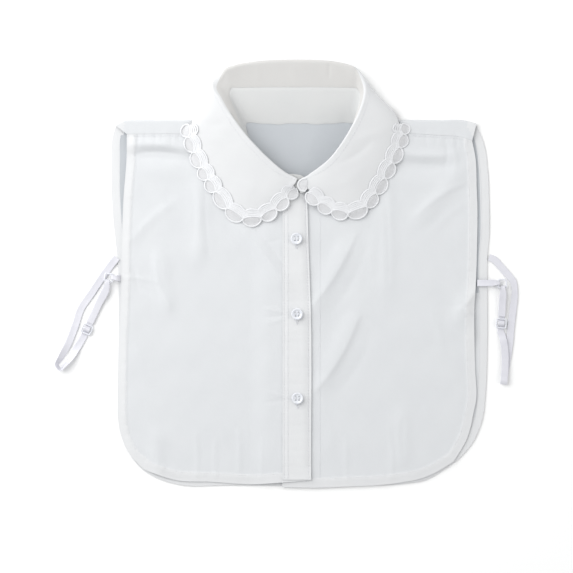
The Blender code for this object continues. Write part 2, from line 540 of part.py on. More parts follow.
# --- side straps --------------------------------------------------------------
def make_tape(name, route, satin):
    """A flat tape along a route: its width is carried along, level, and then
    banked and narrowed as the route says. Long stretches get more points."""
    rows = np.array(route, float)
    steps = np.linalg.norm(np.diff(rows[:, :3], axis=0), axis=1)
    knots = np.concatenate(([0.0], np.cumsum(steps))) / steps.sum()
    at = [0.0]
    for k, step in enumerate(steps):
        cells = 1 + int(step > 2.2) + int(step > 9.0) + int(step > 18.0)
        at.extend(knots[k] + (knots[k + 1] - knots[k]) * shares(cells)[1:])
    line = spline_at(rows, knots, at)
    middle, bank = line[:, :3], np.radians(line[:, 3])[:, None]
    along = unit(np.gradient(middle, axis=0))
    across = np.cross(along[0], (0.0, 0.0, 1.0))
    widths = []
    for direction in along:
        across = unit(across - (across @ direction) * direction)
        level = np.cross(direction, (0.0, 0.0, 1.0))
        if np.linalg.norm(level) > 0.3:      # where it isn't upright, keep it level
            across = unit(level) * np.sign(level @ across)
        widths.append(across)
    widths = np.array(widths)
    widths = widths * np.cos(bank) + np.cross(widths, along) * np.sin(bank)
    reach = TAPE_WIDTH / 2 * line[:, 4][:, None]
    grid = np.stack((middle - widths * reach, middle + widths * reach), axis=1)
    return sheet_object(name, grid, satin, TAPE)


def round_bar(ring, turn, side, shift):
    """Tape rows round one of a ring's bars: in under it, round its far side and back
    over it. side 0 is the bar at the ring's +X and -90 the one at its -Y; shift moves
    the tape along the bar."""
    angle = math.radians(turn + side)
    away = (math.cos(angle), math.sin(angle))
    reach = (RING_SIZE - RING_WIRE) / 2
    rows = []
    for along, rise, width in ((4.5, -1.0, 0.85), (0.9, -1.0, BAR_WIDTH),
                               (-0.71 * BAR_TURN, -0.71, BAR_WIDTH), (-BAR_TURN, 0.0, BAR_WIDTH),
                               (-0.71 * BAR_TURN, 0.71, BAR_WIDTH), (0.9, 1.0, BAR_WIDTH),
                               (4.5, 0.9, 0.85)):
        rows.append((ring[0] + away[0] * (reach + along) - away[1] * shift,
                     ring[1] + away[1] * (reach + along) + away[0] * shift,
                     ring[2] + rise * BAR_TURN, 0.0, width))
    return rows


def strap_route(run, slider, ring, turn, tab):
    """The whole tape: the run, over the slider's bar, round the ring's lower bar and
    back along itself to the slider."""
    turned = round_bar(ring, turn, -90, BAR_SHIFT if tab[0] > 0 else -BAR_SHIFT)
    dx, dy = turned[0][0] - slider[0], turned[0][1] - slider[1]
    length = math.hypot(dx, dy)
    dx, dy = dx / length, dy / length
    rows = list(run)
    for along, rise, width in SLIDER_PASS:
        rows.append((slider[0] + dx * along, slider[1] + dy * along, slider[2] + rise, 0.0, width))
    middle = (8.0 + length) / 2
    rows.append((slider[0] + dx * middle, slider[1] + dy * middle, 0.8, 0.0, 1.0))
    rows += turned
    for along, rise in ((middle, 2.6), (10.0, 2.2), (7.0, 2.2)):
        rows.append((slider[0] + dx * along, slider[1] + dy * along, rise, 0.0, 1.0))
    return rows


def tab_route(ring, turn, tab):
    """The short front tab: from the front's edge over the ring's near bar, round it
    and back under for a few millimetres."""
    side, shift = (0, BAR_SHIFT) if tab[0] < 0 else (180, -BAR_SHIFT)
    rows = round_bar(ring, turn, side, shift)[::-1]
    start = (*tab, 0.0, 0.95)
    between = [(a + b) / 2 for a, b in zip(start, rows[0])]
    between[1] = tab[1]
    between[2] += 0.3
    return [start, tuple(between)] + rows


def rounded_loop(length, width, corner, steps):
    """Points round a rectangle with round corners, about its middle."""
    points = []
    for k, (sx, sy) in enumerate(((1, 1), (-1, 1), (-1, -1), (1, -1))):
        for s in range(steps + 1):
            angle = math.pi / 2 * (k + s / steps)
            points.append((sx * (length / 2 - corner) + corner * math.cos(angle),
                           sy * (width / 2 - corner) + corner * math.sin(angle)))
    return points


def wire_mesh(name, points, radius, closed):
    """A round wire along points as a closed mesh."""
    curve = bpy.data.curves.new(name, "CURVE")
    curve.dimensions = "3D"
    curve.bevel_depth = radius * MM
    curve.bevel_resolution = 1
    curve.use_fill_caps = not closed
    path = curve.splines.new("POLY")
    path.points.add(len(points) - 1)
    for point, (x, y, z) in zip(path.points, points):
        point.co = (x * MM, y * MM, z * MM, 1.0)
    path.use_cyclic_u = closed
    guide = bpy.data.objects.new(name + "_wire", curve)
    bpy.context.scene.collection.objects.link(guide)
    mesh = bpy.data.meshes.new_from_object(guide.evaluated_get(
        bpy.context.evaluated_depsgraph_get()))
    bpy.data.objects.remove(guide)
    weld = bmesh.new()
    weld.from_mesh(mesh)
    bmesh.ops.remove_doubles(weld, verts=weld.verts, dist=0.00001)
    weld.to_mesh(mesh)
    weld.free()
    mesh.name = name
    mesh.materials.clear()
    return mesh


def make_ring(name, place, turn, plastic):
    """A rounded square ring of wire."""
    size = RING_SIZE - RING_WIRE
    loop = rounded_loop(size, size, RING_CORNER, 3)
    mesh = wire_mesh(name, [(px, py, 0.0) for px, py in loop], RING_WIRE / 2, True)
    ring = new_object(name, mesh, plastic)
    ring.location = [value * MM for value in place]
    ring.rotation_euler.z = math.radians(turn)


def make_slider(name, place, turn, plastic):
    """A slider: a rounded frame with a bar across its middle."""
    length, width = SLIDER_LENGTH - SLIDER_BAR, SLIDER_WIDTH - SLIDER_BAR
    loop = rounded_loop(width, length, 1.6, 2)
    mesh = wire_mesh(name, [(px, py, 0.0) for px, py in loop], SLIDER_BAR / 2, True)
    slider = new_object(name, mesh, plastic)
    slider.location = [value * MM for value in place]
    slider.rotation_euler.z = math.radians(turn)
    bar = wire_mesh(name + "_bar", [(-width / 2, 0.0, 0.0), (width / 2, 0.0, 0.0)],
                    SLIDER_BAR * 0.42, False)
    tool = bpy.data.objects.new(name + "_bar", bar)
    bpy.data.collections["cutters"].objects.link(tool)
    tool.location, tool.rotation_euler = slider.location, slider.rotation_euler
    tool.hide_render = True
    tool.display_type = "WIRE"
    union = slider.modifiers.new("bar", "BOOLEAN")
    union.operation = "UNION"
    union.object = tool


# --- materials and the whole --------------------------------------------------
def make_material(name, colour, roughness):
    """A Principled BSDF in one colour."""
    material = bpy.data.materials.new(name)
    material.use_nodes = True
    shader = material.node_tree.nodes["Principled BSDF"]
    shader.inputs["Base Color"].default_value = (*colour, 1.0)
    shader.inputs["Roughness"].default_value = roughness
    shader.inputs["Metallic"].default_value = 0.0
    return material


def main():
    for obj in list(bpy.data.objects):
        bpy.data.objects.remove(obj)
    for name in ("false_collar", "cutters"):
        bpy.context.scene.collection.children.link(bpy.data.collections.new(name))
    cloth = make_material("white_shirting", (0.83, 0.84, 0.86), 0.85)
    organza = make_material("organza_lace", (0.80, 0.81, 0.82), 0.7)
    satin = make_material("satin_tape", (0.84, 0.84, 0.87), 0.55)
    plastic = make_material("white_plastic", (0.86, 0.86, 0.90), 0.3)
    make_back(cloth)
    make_fronts(cloth)
    make_placket(cloth)
    make_collar(cloth)
    make_trim(organza)
    for index, (x, y) in enumerate(BUTTONS, 1):
        make_button(index, x, y, plastic)
    for name, run, slider, ring, turn, tab in STRAPS:
        route = strap_route(run, slider, ring, turn, tab)
        make_tape(f"strap_{name}", route, satin)
        make_tape(f"tab_{name}", tab_route(ring, turn, tab), satin)
        make_ring(f"ring_{name}", ring, turn, plastic)
        before, after = route[len(run)], route[len(run) + len(SLIDER_PASS) - 1]
        heading = math.degrees(math.atan2(after[1] - before[1], after[0] - before[0])) - 90
        make_slider(f"slider_{name}", slider, heading, plastic)


main()
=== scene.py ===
"""The looks of a detachable white collar with lace trim, laid flat on its back panel.

Every piece repeats the driving tables of the part and adds what cloth has: fine
creases, turned hems with their stitches, the sheer scalloped trim with its corded
edges, satin-stitched buttonholes and moulded plastic fittings. Shapes are worked
out in millimetres, X across, Y up towards the collar, Z up from the table. Left and
right are the viewer's.
"""
import math

import bmesh
import bpy
import numpy as np
from mathutils import Matrix, Vector


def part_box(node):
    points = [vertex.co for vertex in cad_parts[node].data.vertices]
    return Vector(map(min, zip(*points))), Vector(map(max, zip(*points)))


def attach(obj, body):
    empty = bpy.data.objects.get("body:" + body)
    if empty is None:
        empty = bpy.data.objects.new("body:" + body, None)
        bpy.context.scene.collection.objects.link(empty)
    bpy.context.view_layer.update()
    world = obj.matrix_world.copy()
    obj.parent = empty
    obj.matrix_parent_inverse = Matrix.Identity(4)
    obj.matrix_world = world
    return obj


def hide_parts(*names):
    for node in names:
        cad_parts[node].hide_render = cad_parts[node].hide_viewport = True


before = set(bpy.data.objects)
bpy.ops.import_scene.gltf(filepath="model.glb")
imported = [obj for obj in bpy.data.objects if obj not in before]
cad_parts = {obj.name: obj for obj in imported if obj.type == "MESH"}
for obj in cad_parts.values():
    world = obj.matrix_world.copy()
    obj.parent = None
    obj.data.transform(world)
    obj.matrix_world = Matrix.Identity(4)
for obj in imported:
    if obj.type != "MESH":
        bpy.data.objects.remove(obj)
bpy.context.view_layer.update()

MM = 0.001

# --- driving dimensions, mm: as in the part -----------------------------------
CLOTH = 1.0                            # wall of one layer of cloth in the solids
LAYER_GAP = 0.6                        # between the fronts where they overlap
BACK_REST = CLOTH / 2                  # the back panel's middle above the table
FRONT_REST = 2.2                       # the right front's middle above the table
OVERLAP_RISE = CLOTH + LAYER_GAP       # the left front's lift over the right one
NECK_SWELL = 1.4                       # lift of the fronts round the neck
NECK_X, NECK_Y = 10.5, 105.0           # its middle
NECK_SPREAD_X, NECK_SPREAD_Y = 85.0, 75.0
SHOULDER_RISE = 1.2                    # climb of the fronts to the shoulder seams
SHOULDER_SPREAD = 18.0
SEAM_Y = 139.8                         # the shoulder seams
SHOULDER_Y = 151.7                     # the shoulders' fold, at the top of the back
SHOULDER_RADIUS = 1.6
YOKE_NECK_LEFT, YOKE_NECK_RIGHT = -55.5, 73.5      # where that fold meets the neck
PLACKET_LEFT = -4.0
PLACKET_TOP, PLACKET_BOTTOM = 80.5, -205.6
PLACKET_WIDTH = 26.0                   # about, as it narrows towards the neck
BUTTON_WIDTH, BUTTON_HEIGHT = 11.5, 2.2
BUTTON_HOLE, BUTTON_HOLE_PITCH = 1.7, 3.2
BUTTONS = ((9.9, 35.0), (10.5, -40.2), (10.9, -124.2))
TAPE_WIDTH = 7.0
RING_SIZE, RING_CORNER, RING_WIRE = 9.6, 1.6, 1.5
SLIDER_LENGTH, SLIDER_WIDTH, SLIDER_BAR = 10.4, 11.0, 1.5
SLIDER_CORNER = 1.6

# --- outlines, mm: X, Y -------------------------------------------------------
BACK_LEFT = ((-149.5, -190.2), (-159.0, -176.2), (-166.0, -151.2), (-167.5, -126.2),
             (-167.5, -76.2), (-167.8, -16.2), (-169.0, 15.8), (-171.0, 33.8),
             (-174.5, 74.8), (-174.7, 110.0), (-173.9, 135.8), (-170.5, 147.8))
BACK_RIGHT = ((171.5, -185.7), (185.5, -169.6), (191.9, -156.8), (195.8, -145.2),
              (198.3, -126.2), (200.5, -76.2), (200.8, -26.2), (200.8, 18.8),
              (202.5, 38.8), (202.5, 68.1), (200.9, 106.4), (199.0, 122.3),
              (194.5, 138.3), (189.5, 148.6))
BACK_HEM = ((-149.5, -190.2), (-139.5, -198.7), (-126.5, -205.2), (-109.5, -210.2),
            (-56.5, -211.2), (58.5, -211.7), (113.5, -210.1), (139.0, -205.9),
            (154.3, -197.6), (171.5, -185.7))
LEFT_ARMHOLE = ((-149.1, -188.7), (-155.5, -181.7), (-161.8, -170.8), (-166.0, -159.2),
                (-168.2, -145.2), (-168.5, -126.2), (-167.9, -76.2), (-165.5, -16.2),
                (-164.5, 33.8), (-162.9, 74.8), (-159.7, 119.2), (-159.5, 139.5))
LEFT_HEM = ((-149.1, -188.7), (-142.1, -195.2), (-131.9, -199.5), (-110.2, -206.2),
            (-76.5, -207.8), (-31.5, -210.2), (-5.5, -208.5), (24.5, -206.2))
LEFT_FRONT = ((24.5, -206.2), (24.0, -26.2), (22.5, 13.8), (20.5, 73.8), (20.0, 81.8))
LEFT_SEAM = ((-159.5, 139.5), (-110.0, 139.8), (-54.5, 138.8))
LEFT_NECK = ((-54.5, 138.8), (-48.5, 132.8), (-38.5, 117.8), (-26.5, 104.8),
             (-15.5, 95.3), (-5.5, 88.3), (4.5, 83.8), (12.5, 81.8), (20.0, 81.8))
RIGHT_ARMHOLE = ((167.1, -187.4), (173.5, -177.2), (179.8, -165.7), (184.3, -151.7),
                 (186.8, -139.0), (189.4, -126.2), (188.5, -96.2), (187.7, -66.2),
                 (187.5, -36.2), (189.3, -6.2), (190.5, 33.8), (190.7, 68.1),
                 (190.0, 87.3), (188.8, 116.0), (185.5, 132.8))
RIGHT_HEM = ((-4.5, -213.2), (33.5, -213.6), (58.5, -212.6), (113.5, -208.7),
             (138.5, -203.2), (153.5, -196.0), (167.1, -187.4))
RIGHT_FRONT = ((-4.5, -213.2), (-4.5, -60.0), (-4.5, 82.8))
RIGHT_NECK = ((-4.5, 82.8), (5.5, 81.8), (15.5, 82.3), (23.5, 84.8), (32.5, 89.3),
              (41.5, 95.8), (50.5, 104.8), (58.5, 115.8), (66.5, 130.8), (72.5, 138.8))
RIGHT_SEAM = ((72.5, 138.8), (123.1, 140.0), (151.8, 138.3), (177.3, 135.8),
              (185.5, 132.8))

# Soft folds of the fronts: both ends, half width, height (below 0 is a trough), mm.
FOLDS = (
    # x0, y0, x1, y1, half, height
    (-141.0, 119.0, -98.0, 122.0, 9.0, -0.6),
    (-86.5, 84.0, -86.5, 29.0, 9.0, 1.6),
    (-42.5, 48.0, -6.5, -5.0, 9.0, 1.5),
    (-125.5, 14.0, -119.5, -24.0, 8.0, 1.3),
    (-130.0, -168.0, -128.0, -196.0, 8.0, 1.2),
    (113.5, 109.0, 153.5, 116.0, 9.0, -0.6),
    (168.0, 96.0, 137.5, 59.0, 9.0, 1.4),
    (100.5, 86.0, 100.5, -6.0, 8.0, 1.2),
    (56.0, 20.0, 31.0, -30.0, 9.0, 1.7),
    (64.0, -52.0, 38.0, -106.0, 9.0, 1.8),
    (186.0, -20.0, 176.0, -38.0, 9.0, 1.6),
    (176.0, -38.0, 186.0, -58.0, 9.0, 1.4),
    (116.0, -148.0, 116.0, -180.0, 8.0, 1.0),
)

# Sections across the collar, from the left point round the back to the right
# point. Each gives a point on the neckline, on the seam at the top of the stand,
# on the roll line and on the leaf's edge, the height of the leaf halfway from
# roll to edge, and the side the leaf falls to: -90 over the stand, 0 beside it,
# 90 under it.
COLLAR = (
    # neck x, y, z        stand top x, y, z     roll x, y, z          edge x, y, z
    # half, fall
    (14.0, 82.3, 7.7, 12.3, 92.0, 8.9, 10.7, 94.6, 10.5, 6.5, 87.3, 10.7, 11.7, -90),
    (4.5, 84.8, 7.5, 6.0, 94.4, 9.0, 6.5, 97.0, 10.9, -2.5, 77.3, 9.9, 11.6, -90),
    (-5.5, 89.3, 6.6, -2.0, 97.8, 9.3, 0.0, 100.2, 12.2, -18.5, 62.8, 8.0, 11.7, -90),
    (-16.0, 96.3, 5.9, -10.5, 103.8, 10.2, -8.0, 106.0, 13.8, -35.5, 57.2, 7.0, 12.0, -85),
    (-27.0, 105.8, 5.6, -20.5, 112.8, 11.0, -18.0, 114.8, 15.2, -50.5, 61.8, 6.6, 12.5, -80),
    (-39.0, 118.8, 5.5, -32.0, 124.8, 12.0, -30.0, 126.8, 16.6, -66.5, 81.3, 6.4, 13.2, -75),
    (-48.5, 132.8, 5.4, -43.5, 140.3, 12.6, -43.0, 141.5, 17.6, -80.5, 103.8, 6.4, 13.8, -65),
    (-52.0, 142.8, 4.7, -50.0, 159.8, 12.2, -55.0, 158.8, 18.0, -91.0, 126.8, 6.7, 14.6, -50),
    (-52.9, 149.2, 3.6, -55.0, 171.8, 11.0, -64.0, 174.8, 17.0, -95.5, 143.4, 7.0, 14.0, -30),
    (-50.5, 151.2, 2.6, -57.0, 180.8, 8.9, -70.0, 189.8, 14.0, -87.5, 163.5, 5.0, 9.7, 0),
    (-45.5, 151.0, 2.3, -55.5, 184.8, 7.6, -64.5, 201.2, 11.6, -80.0, 164.0, 2.75, 4.7, 50),
    (-37.5, 150.8, 2.2, -47.5, 185.8, 6.8, -51.5, 207.8, 10.2, -62.0, 164.0, 2.45, 3.6, 80),
    (-24.5, 150.6, 2.2, -30.5, 186.2, 6.5, -34.5, 211.0, 9.4, -40.0, 164.0, 2.45, 3.3, 90),
    (9.5, 150.4, 2.2, 10.5, 186.4, 6.4, 10.5, 213.3, 9.0, 9.5, 164.0, 2.45, 3.3, 90),
    (43.5, 150.6, 2.2, 48.5, 186.2, 6.5, 47.5, 211.4, 9.4, 56.0, 164.0, 2.45, 3.3, 90),
    (54.5, 150.8, 2.2, 62.5, 185.8, 6.8, 62.0, 208.2, 10.2, 79.0, 164.0, 2.45, 3.6, 80),
    (62.5, 151.0, 2.3, 70.0, 185.0, 7.6, 69.5, 203.8, 11.6, 97.0, 164.0, 2.5, 4.6, 58),
    (67.7, 151.2, 2.6, 73.0, 181.0, 8.9, 74.5, 193.8, 14.0, 105.0, 163.5, 5.0, 9.5, 15),
    (69.8, 149.2, 3.6, 73.0, 171.8, 11.0, 76.9, 178.8, 16.4, 113.5, 144.4, 7.0, 14.0, -30),
    (69.5, 142.8, 4.7, 69.5, 159.8, 12.2, 72.5, 162.8, 18.0, 110.0, 128.8, 6.8, 14.6, -50),
    (66.0, 131.8, 5.4, 62.0, 137.8, 12.6, 62.5, 142.3, 17.6, 100.0, 106.8, 6.5, 13.8, -65),
    (58.5, 116.3, 5.5, 53.0, 122.8, 12.0, 51.5, 125.2, 16.6, 87.5, 83.8, 6.5, 13.2, -75),
    (49.5, 104.8, 5.6, 44.0, 111.8, 11.0, 42.1, 113.8, 15.2, 72.5, 65.8, 6.7, 12.5, -80),
    (40.5, 96.2, 5.9, 35.0, 104.2, 10.2, 33.1, 106.3, 13.8, 55.5, 63.4, 7.1, 12.0, -85),
    (31.5, 89.6, 6.4, 27.0, 98.8, 9.3, 25.5, 101.0, 12.2, 37.5, 70.8, 8.0, 11.7, -90),
    (23.0, 84.8, 7.5, 20.5, 94.4, 9.0, 19.5, 96.9, 10.9, 25.5, 80.8, 9.9, 11.6, -90),
    (17.4, 82.6, 7.7, 15.6, 92.0, 8.9, 14.7, 94.6, 10.5, 17.9, 88.4, 10.7, 11.7, -90),
)
NECK, TOP, ROLL, EDGE = slice(0, 3), slice(3, 6), slice(6, 9), slice(9, 12)
HALF, FALL = 12, 13
ROUND_CELLS = 300                      # of the leaf and the stand, round the neck
ROLL_RADII = ((-90, 1.1), (0, 2.6), (90, 2.2))     # fall, radius of the roll
ROLL_SQUARE = 0.7                      # how far the roll turns square to its own line
ROLL_HUB = (NECK_X, 150.0)             # the roll's sections lean in towards this point
STAND_BOW = 0.9                        # the stand bows up between its two seams

# Where the scallops of the trim meet, beside the leaf's edge: x, y
LEFT_CUSPS = (
    (5.5, 92.8), (0.1, 76.8), (-11.0, 64.8), (-25.0, 54.0), (-44.0, 52.5), (-60.0, 64.8),
    (-71.2, 81.8), (-78.7, 94.3), (-85.5, 105.8), (-94.0, 121.1), (-100.5, 135.8),
    (-103.0, 150.8),
)
RIGHT_CUSPS = (
    (117.5, 149.8), (117.5, 139.3), (112.7, 126.3), (105.0, 110.8), (96.0, 96.3), (86.7, 81.8),
    (81.0, 65.5), (61.5, 56.5), (45.5, 61.8), (33.0, 70.8), (21.5, 81.8), (19.6, 86.6),
)
BACK_SCALLOPS = 13                     # at the back, between the two
TRIM_PART = 0.006      # share of the way round between two stretches of the trim
TRIM_DROOP = 0.26      # share of the leaf's slope that the trim keeps past the edge

# Side straps. The run is the tape's centre line from the back panel to the slider:
# x, y, z, bank in degrees, share of the width. It then goes through the slider,
# round the ring's bar and back to end on itself beside the slider.
LEFT_RUN = (
    (-169.5, 16.2, 1.85, 0, 1.0), (-172.2, 12.8, 1.85, 0, 1.0), (-174.9, 9.4, 1.3, 0, 1.0),
    (-178.0, 5.2, 0.65, 0, 1.0), (-184.6, -3.9, 0.6, 0, 1.0), (-195.1, -19.8, 0.6, 0, 1.0),
    (-205.4, -35.0, 0.6, 0, 1.0), (-211.1, -51.9, 0.6, 0, 1.0), (-218.9, -71.6, 1.4, 12, 1.0),
    (-225.6, -83.6, 2.9, 38, 1.0), (-229.3, -91.6, 3.7, 62, 1.0),
    (-226.0, -95.6, 3.8, 68, 1.0), (-220.6, -91.0, 3.7, 60, 1.0),
    (-213.6, -81.4, 2.2, 25, 1.0), (-208.6, -72.7, 1.0, 4, 1.0), (-205.8, -68.0, 0.8, 0, 1.0),
)
RIGHT_RUN = (
    (202.4, 16.6, 0.6, 0, 0.95), (207.0, 14.6, 0.6, 0, 1.0), (214.1, 7.3, 0.6, 0, 1.0),
    (221.3, -0.9, 0.6, 0, 1.0), (226.4, -7.0, 0.8, 0, 0.9), (228.0, -14.0, 0.8, 0, 0.85),
    (228.0, -24.0, 0.7, 0, 0.9), (226.4, -36.0, 0.6, 0, 1.0), (224.6, -52.0, 0.6, 0, 1.0),
    (222.8, -72.0, 0.6, 0, 1.0), (220.0, -90.0, 0.6, 0, 1.0), (217.8, -104.0, 0.7, 0, 1.0),
    (217.2, -108.6, 1.2, 0, 1.0), (217.0, -110.4, 2.1, 0, 1.0), (217.2, -108.6, 3.1, 0, 1.0),
    (217.8, -102.0, 2.9, 0, 1.0), (218.6, -88.0, 2.3, 0, 1.0), (217.8, -73.0, 2.3, 0, 1.0),
    (216.6, -66.0, 2.1, 0, 1.0), (215.2, -60.8, 1.0, 0, 1.0),
)
# Each strap's run, the middles of its slider and its ring, the ring's turn in
# degrees and where its tab is sewn to the front
STRAPS = (
    # name, run, slider, ring, turn, tab
    ("left", LEFT_RUN, (-199.4, -55.4, 2.5), (-177.4, -3.9, 3.9), -8.0, (-166.0, -4.3, 2.4)),
    ("right", RIGHT_RUN, (214.6, -49.6, 2.5), (215.6, -9.8, 2.7), 0.0, (190.6, -9.2, 2.4)),
)
# Through the slider: along the tape, above the slider's middle, share of the width
SLIDER_PASS = ((-8.0, -1.7, 0.95), (-4.6, -1.7, 0.9), (-3.2, -1.15, 0.88), (-2.3, 0.05, 0.88),
               (-1.3, 1.15, 0.88), (0.0, 1.6, 0.88), (1.3, 1.15, 0.88), (2.3, 0.05, 0.88),
               (3.2, -1.15, 0.88), (4.6, -1.7, 0.9), (8.0, -1.7, 0.95))
SLIDER_BEHIND = SLIDER_PASS[-1][0]     # the tape is through the slider this far on
BAR_TURN = 1.85        # radius of the tape's turn round a ring's bar
BAR_WIDTH = 0.6        # share of the tape's width inside the ring
BAR_SHIFT = 0.8        # strap and tab keep this far from the corner between them
DIAGONAL = 0.71        # sine and cosine of half a right angle
STRAP_LOW, STRAP_HIGH, STRAP_END = 0.8, 2.6, 2.2   # heights of a strap's two layers


# --- curves and surfaces ------------------------------------------------------
def spline(points, at):
    """Points on a Catmull-Rom curve through rows of numbers, at shares 0 to 1 of
    its length (measured along the straight lines between the rows in X, Y, Z)."""
    rows = np.array(points, float)
    steps = np.linalg.norm(np.diff(rows[:, :3], axis=0), axis=1)
    knots = np.concatenate(([0.0], np.cumsum(steps))) / steps.sum()
    return spline_at(rows, knots, at)


def spline_at(rows, knots, at):
    """Rows of numbers carried smoothly from knot to knot (cubic Hermite, with the
    slope at a knot weighed from the slopes on both its sides)."""
    at = np.asarray(at, float)
    gaps = np.diff(knots)[:, None]
    slopes = np.diff(rows, axis=0) / gaps
    tangents = np.empty_like(rows)
    tangents[0], tangents[-1] = slopes[0], slopes[-1]
    tangents[1:-1] = ((slopes[:-1] * gaps[1:] + slopes[1:] * gaps[:-1])
                      / (gaps[:-1] + gaps[1:]))
    i = np.clip(np.searchsorted(knots, at, side="right") - 1, 0, len(knots) - 2)
    h = gaps[i]
    t = ((at - knots[i]) / h[:, 0])[:, None]
    return ((1 + 2 * t) * (1 - t) ** 2 * rows[i] + t * (1 - t) ** 2 * h * tangents[i]
            + t * t * (3 - 2 * t) * rows[i + 1] + t * t * (t - 1) * h * tangents[i + 1])


def shares(cells):
    """Even shares from 0 to 1 for a number of cells."""
    return np.linspace(0.0, 1.0, cells + 1)


def coons(left, right, bottom, top):
    """Plan points between four outlines that meet at the corners (a Coons patch).
    left and right run up, bottom and top run to the right; rows run up."""
    rows, columns = len(left), len(bottom)
    v = np.linspace(0.0, 1.0, rows)[:, None, None]
    u = np.linspace(0.0, 1.0, columns)[None, :, None]
    across = (1 - u) * left[:, None, :] + u * right[:, None, :]
    along = (1 - v) * bottom[None, :, :] + v * top[None, :, :]
    corners = ((1 - u) * (1 - v) * bottom[0] + u * (1 - v) * bottom[-1]
               + (1 - u) * v * top[0] + u * v * top[-1])
    return across + along - corners


def smoothstep(value, low, high):
    """0 below low, 1 above high and a soft S between."""
    t = np.clip((value - low) / (high - low), 0.0, 1.0)
    return t * t * (3 - 2 * t)


def fold_height(x, y):
    """Height of the soft folds: a bell across each fold's line, faded at its ends by
    another: rise exp(-(across / half)^2 - (beyond / (1.6 half))^2)."""
    height = np.zeros_like(x)
    for x0, y0, x1, y1, half, rise in FOLDS:
        length = math.hypot(x1 - x0, y1 - y0)
        ux, uy = (x1 - x0) / length, (y1 - y0) / length
        along = (x - x0) * ux + (y - y0) * uy
        across = (y - y0) * ux - (x - x0) * uy
        beyond = np.maximum(0.0, np.abs(along - length / 2) - length / 2)
        height += rise * np.exp(-(across / half) ** 2 - (beyond / (1.6 * half)) ** 2)
    return height


def right_front_height(x, y):
    """Height of the middle of the right front: its rest, the lift round the neck,
    the climb to the shoulder seam and the folds."""
    swell = np.exp(-((x - NECK_X) / NECK_SPREAD_X) ** 2 - ((y - NECK_Y) / NECK_SPREAD_Y) ** 2)
    climb = np.exp(-((y - SEAM_Y) / SHOULDER_SPREAD) ** 2)
    return FRONT_REST + NECK_SWELL * swell + SHOULDER_RISE * climb + fold_height(x, y)


def left_front_height(x, y):
    """The same height, lifted where the left front lies on the right one."""
    return right_front_height(x, y) + OVERLAP_RISE * smoothstep(x, -38.0, -16.0)


def collar_sections():
    """The collar's table as rows, and the share of the way round at each of them."""
    rows = np.array(COLLAR, float)
    reach = (np.linalg.norm(np.diff(rows[:, 6:9], axis=0), axis=1)
             + np.linalg.norm(np.diff(rows[:, 9:12], axis=0), axis=1)) / 2
    knots = np.concatenate(([0.0], np.cumsum(reach))) / reach.sum()
    return rows, knots


def unit(vectors):
    """Each row scaled to a length of one."""
    return vectors / np.linalg.norm(vectors, axis=-1)[..., None]


def leaf_points(rows, at):
    """Points across the leaf at each row. From -2 to -1 they run straight from the
    stand's top to the roll, from -1 to 0 round the roll's half circle, and from 0
    to 1 down to the edge, on a cubic curve lifted to its height at the middle."""
    top, roll, edge = rows[:, TOP], rows[:, ROLL], rows[:, EDGE]
    fall = np.radians(rows[:, FALL])[:, None]
    inward = np.column_stack((np.array(ROLL_HUB) - roll[:, :2], np.zeros(len(rows))))
    side = np.cos(fall) * unit(inward) + np.sin(fall) * np.array((0.0, 0.0, 1.0))
    middle = (top + edge) / 2 - roll
    middle = unit(middle - (middle * side).sum(1)[:, None] * side)
    # turned part of the way square to the roll line, which bends round the corners
    line = unit(np.gradient(roll, axis=0))
    square = middle - ROLL_SQUARE * (middle * line).sum(1)[:, None] * line
    side = side - ROLL_SQUARE * (side * line).sum(1)[:, None] * line
    leaves = middle
    middle = unit(square)
    side = unit(side - (side * middle).sum(1)[:, None] * middle)
    radius = np.interp(rows[:, FALL], *zip(*ROLL_RADII))[:, None]
    centre = roll + radius * middle
    outer = centre - radius * side
    reach = np.linalg.norm(edge - outer, axis=1)[:, None] / 3
    bend_out = outer + reach * leaves
    bend_in = edge - reach * unit(edge - outer)
    half_height = (outer + 3 * bend_out + 3 * bend_in + edge)[:, 2] / 8
    lift = rows[:, HALF] - half_height
    columns = []
    for share in at:
        if np.all(share < -1):
            point = top + (share + 2) * (centre + radius * side - top)
        elif np.all(share < 0):
            angle = math.pi * (share + 1)
            point = centre + radius * (math.cos(angle) * side - math.sin(angle) * middle)
        else:
            t = np.broadcast_to(share, (len(rows),))[:, None]
            point = ((1 - t) ** 3 * outer + 3 * t * (1 - t) ** 2 * bend_out
                     + 3 * t * t * (1 - t) * bend_in + t ** 3 * edge)
            point = point + np.column_stack((0 * t, 0 * t, 4 * t * (1 - t) * lift[:, None]))
        columns.append(point)
    return np.stack(columns, axis=1)


def scallop_shares():
    """The shares of the way round the neck at which each stretch of trim has its cusps. At the
    front they lie where the leaf's edge is nearest to the table's. The right one's last scallop is
    left to corner_loop, and the back's end ones are left out."""
    table, knots = collar_sections()
    at = shares(800)
    edge = spline_at(table, knots, at)[:, EDGE][:, :2]
    stretches = {}
    for name, cusps in (("lace_left", LEFT_CUSPS), ("lace_right", RIGHT_CUSPS)):
        away = np.linalg.norm(edge[None] - np.array(cusps)[:, None], axis=2)
        stretches[name] = at[away.argmin(axis=1)]
    stretches["lace_right"] = stretches["lace_right"][:-1]
    stretches["lace_back"] = np.linspace(stretches["lace_left"][-1] + TRIM_PART,
                                         stretches["lace_right"][0] - TRIM_PART,
                                         BACK_SCALLOPS + 1)[1:-1]
    return stretches


